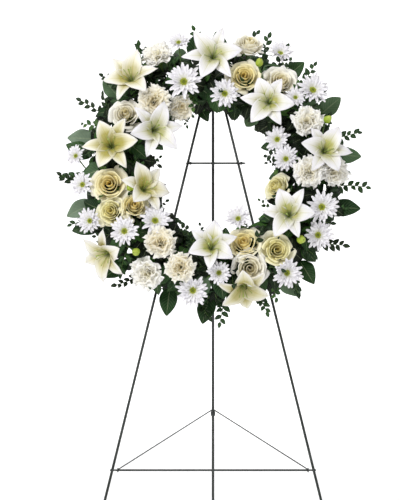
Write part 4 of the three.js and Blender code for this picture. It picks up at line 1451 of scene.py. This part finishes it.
class WREATH_OT_daisies(bpy.types.Operator):
    """Makes the sprays of daisies on their forked stems"""

    bl_idname = "wreath.daisies"
    bl_label = "Daisies"

    def execute(self, context):
        seed = 70
        for name, blooms in DAISY_SPRAYS.items():
            meshes, paths, fork = [], [], None
            for clock, lean, radius, *base in blooms:
                seed += 1
                daisy = Bloom("daisy", clock, lean, 0.0, name, *base)
                top = radius * 0.22
                paths.append(daisy.stalk(0.002, 0.0018, fork))
                paths.append(daisy.upright([0, 0.002, 0.005, top], [0.002, radius * 0.12, radius * 0.2, top]))
                meshes.append(whorl("Daisy rays", daisy.head, seed, daisy_petal(), Radius=radius))
                eye = baked(floret_tree(), {"Florets": 72, "Radius": radius * 0.26}, daisy_eye())
                meshes.append(placed(eye, daisy.head @ outwards(top)))
                if fork is None:
                    fork = along_stem(daisy.stem, FORK)
            dress(name + "_blooms", [*meshes, stalks(paths, 10)], FRONT, "daisy_petal", name)
        return {"FINISHED"}


class WREATH_OT_greenery(bpy.types.Operator):
    """Makes the trails beside the ring with their broad leaves and sprigs"""

    bl_idname = "wreath.greenery"
    bl_label = "Greenery"

    def execute(self, context):
        ruffle = context.scene.wreath.greenery.ruffle
        for seed, (name, trail) in enumerate(TRAILS.items(), 200):
            self.add_trail(name, trail, random.Random(seed), ruffle)
        return {"FINISHED"}

    def add_trail(self, name, trail, dice, ruffle):
        start, end, side, broad, sprigs = trail
        root = stem_frame(start, side * 55)
        beside = RING_RADIUS + side * TRAIL_BESIDE
        clocks = [start + 8 + (end - start - 8) * i / 12 for i in range(13)]
        route = [WREATH @ on_ring(clock, beside, TRAIL_HEIGHT) for clock in clocks]
        over = WREATH @ on_ring(start + 3, beside, 0.038)
        line = curve_through([along_stem(root, STEM_STOP), along_stem(root, 0.048), over, *route], 4)
        paths = [(line, STEM_RADIUS * 0.8)]
        scale = INNER_SCALE if side < 0 else 1.0
        leaves, small = [], []
        for i, clock in enumerate(broad):
            place = beside_ring(clock, side, (14 if i % 2 else -12) + dice.uniform(-4, 4), 16)
            size = scale * dice.uniform(0.92, 1.0)
            bend = dice.uniform(0.25, 0.75)
            blade = place @ Matrix.Translation((BROAD_STALK * scale, 0, 0))
            paths.append(([place.translation, blade.translation], [0.0012, 0.0010]))
            leaves.append((blade, BROAD_LEAF[0] * size, BROAD_LEAF[1] * size, bend, dice.uniform(-1, 1)))
        for i, clock in enumerate(sprigs):
            place = beside_ring(clock, side, (-10 if i % 2 else 12) + dice.uniform(-5, 5), 15)
            stalk, more = sprig(place, SPRIG_LENGTH * scale * dice.uniform(0.86, 0.98), scale, dice)
            paths.append(stalk)
            small += more
        meshes = [grown_leaves(leaves, "broad leaf", ruffle), grown_leaves(small, "sprig leaf")]
        dress(name + "_leaves", [*meshes, stalks(paths, 8)], FRONT, "leaf", name)


class WREATH_OT_foliage(bpy.types.Operator):
    """Fills the ring between the blooms with dark leaves, whose near-black colour is partly painted shade,
    hides the tray's edges, and adds small sprigs
    """

    bl_idname = "wreath.foliage"
    bl_label = "Foliage"

    def execute(self, context):
        settings = context.scene.wreath.greenery
        dice = random.Random(11)
        bed = [self.bed_leaf(dice) for _ in range(settings.foliage)]
        bed += [self.edge_leaf(dice, 1 if i % 2 else -1) for i in range(settings.edge_leaves)]
        dress("foliage", [grown_leaves(bed, "foliage")], FRONT, "leaf")
        self.add_filler(settings, random.Random(12))
        return {"FINISHED"}

    def bed_leaf(self, dice):
        """A leaf that stands up out of the foam."""
        place = stem_frame(dice.uniform(0, 360), dice.uniform(-70, 70))
        place = place @ turn_about("Z", dice.uniform(0, 360))
        place = place @ outwards(dice.uniform(0.034, 0.060)) @ turn_about("Y", -dice.uniform(5, 70))
        length = dice.uniform(0.028, 0.050)
        return place, length, length * dice.uniform(0.26, 0.36), dice.uniform(0.3, 1.2), dice.uniform(-1, 1)

    def edge_leaf(self, dice, side):
        """A leaf that leaves the foam above the tray's rim and hangs over it."""
        place = stem_frame(dice.uniform(0, 360), side * dice.uniform(52, 80))
        place = place @ turn_about("Z", side * 90 + dice.uniform(-55, 55))
        place = place @ outwards(dice.uniform(0.044, 0.054))
        length = dice.uniform(0.034, 0.064)
        breadth = length * dice.uniform(0.28, 0.40)
        place = place @ turn_about("Y", -dice.uniform(0, 60))
        return place, length, breadth, dice.uniform(0.2, 1.0), dice.uniform(-1, 1)

    def add_filler(self, settings, dice):
        """Sprigs and broad leaves that stand up among the blooms."""
        paths, small, broad = [], [], []
        for i in range(settings.sprigs):
            clock = 360 * (i + dice.uniform(0, 0.9)) / settings.sprigs
            lean = dice.uniform(-84, 84)
            swing = (90 if lean > 0 else -90) + dice.uniform(-100, 100)
            place = stem_frame(clock, lean) @ turn_about("Z", swing)
            place = place @ outwards(0.046) @ turn_about("Y", -dice.uniform(12, 45))
            stalk, leaves = sprig(place, dice.uniform(0.050, 0.078), 0.95, dice)
            paths.append(stalk)
            small += leaves
        for i in range(settings.broad_leaves):
            clock = 360 * (i + dice.uniform(0, 0.9)) / settings.broad_leaves
            side = 1 if i % 3 else -1
            place = stem_frame(clock, side * dice.uniform(20, 60))
            place = place @ turn_about("Z", side * 90 + dice.uniform(-50, 50))
            place = place @ outwards(0.056) @ turn_about("Y", -dice.uniform(15, 50))
            length = dice.uniform(0.048, 0.066)
            broad.append((place, length, length * 0.34, dice.uniform(0.3, 0.9), dice.uniform(-1, 0.6)))
        meshes = [grown_leaves(small, "sprig leaf"), grown_leaves(broad, "broad leaf", settings.ruffle)]
        dress("filler_greens", [*meshes, stalks(paths, 6)], FRONT, "leaf")


OPERATORS = (
    WREATH_OT_studio,
    WREATH_OT_easel,
    WREATH_OT_ring,
    WREATH_OT_lilies,
    WREATH_OT_roses,
    WREATH_OT_carnations,
    WREATH_OT_daisies,
    WREATH_OT_greenery,
    WREATH_OT_foliage,
)
SETTINGS = (StudioSettings, LilySettings, RoseSettings, GreenerySettings, WreathSettings)


class WREATH_PT_panel(bpy.types.Panel):
    """Lists the steps that make the wreath"""

    bl_idname = "WREATH_PT_panel"
    bl_label = "Wreath"
    bl_space_type = "VIEW_3D"
    bl_region_type = "UI"
    bl_category = "Wreath"

    def draw(self, context):
        for step in OPERATORS:
            self.layout.operator(step.bl_idname)


CLASSES = (*SETTINGS, *OPERATORS, WREATH_PT_panel)


def register():
    for item in CLASSES:
        bpy.utils.register_class(item)
    bpy.types.Scene.wreath = bpy.props.PointerProperty(type=WreathSettings)


def unregister():
    del bpy.types.Scene.wreath
    for item in reversed(CLASSES):
        bpy.utils.unregister_class(item)


def main():
    register()
    for step in OPERATORS:
        group, name = step.bl_idname.split(".")
        getattr(getattr(bpy.ops, group), name)()


if __name__ == "__main__":
    main()
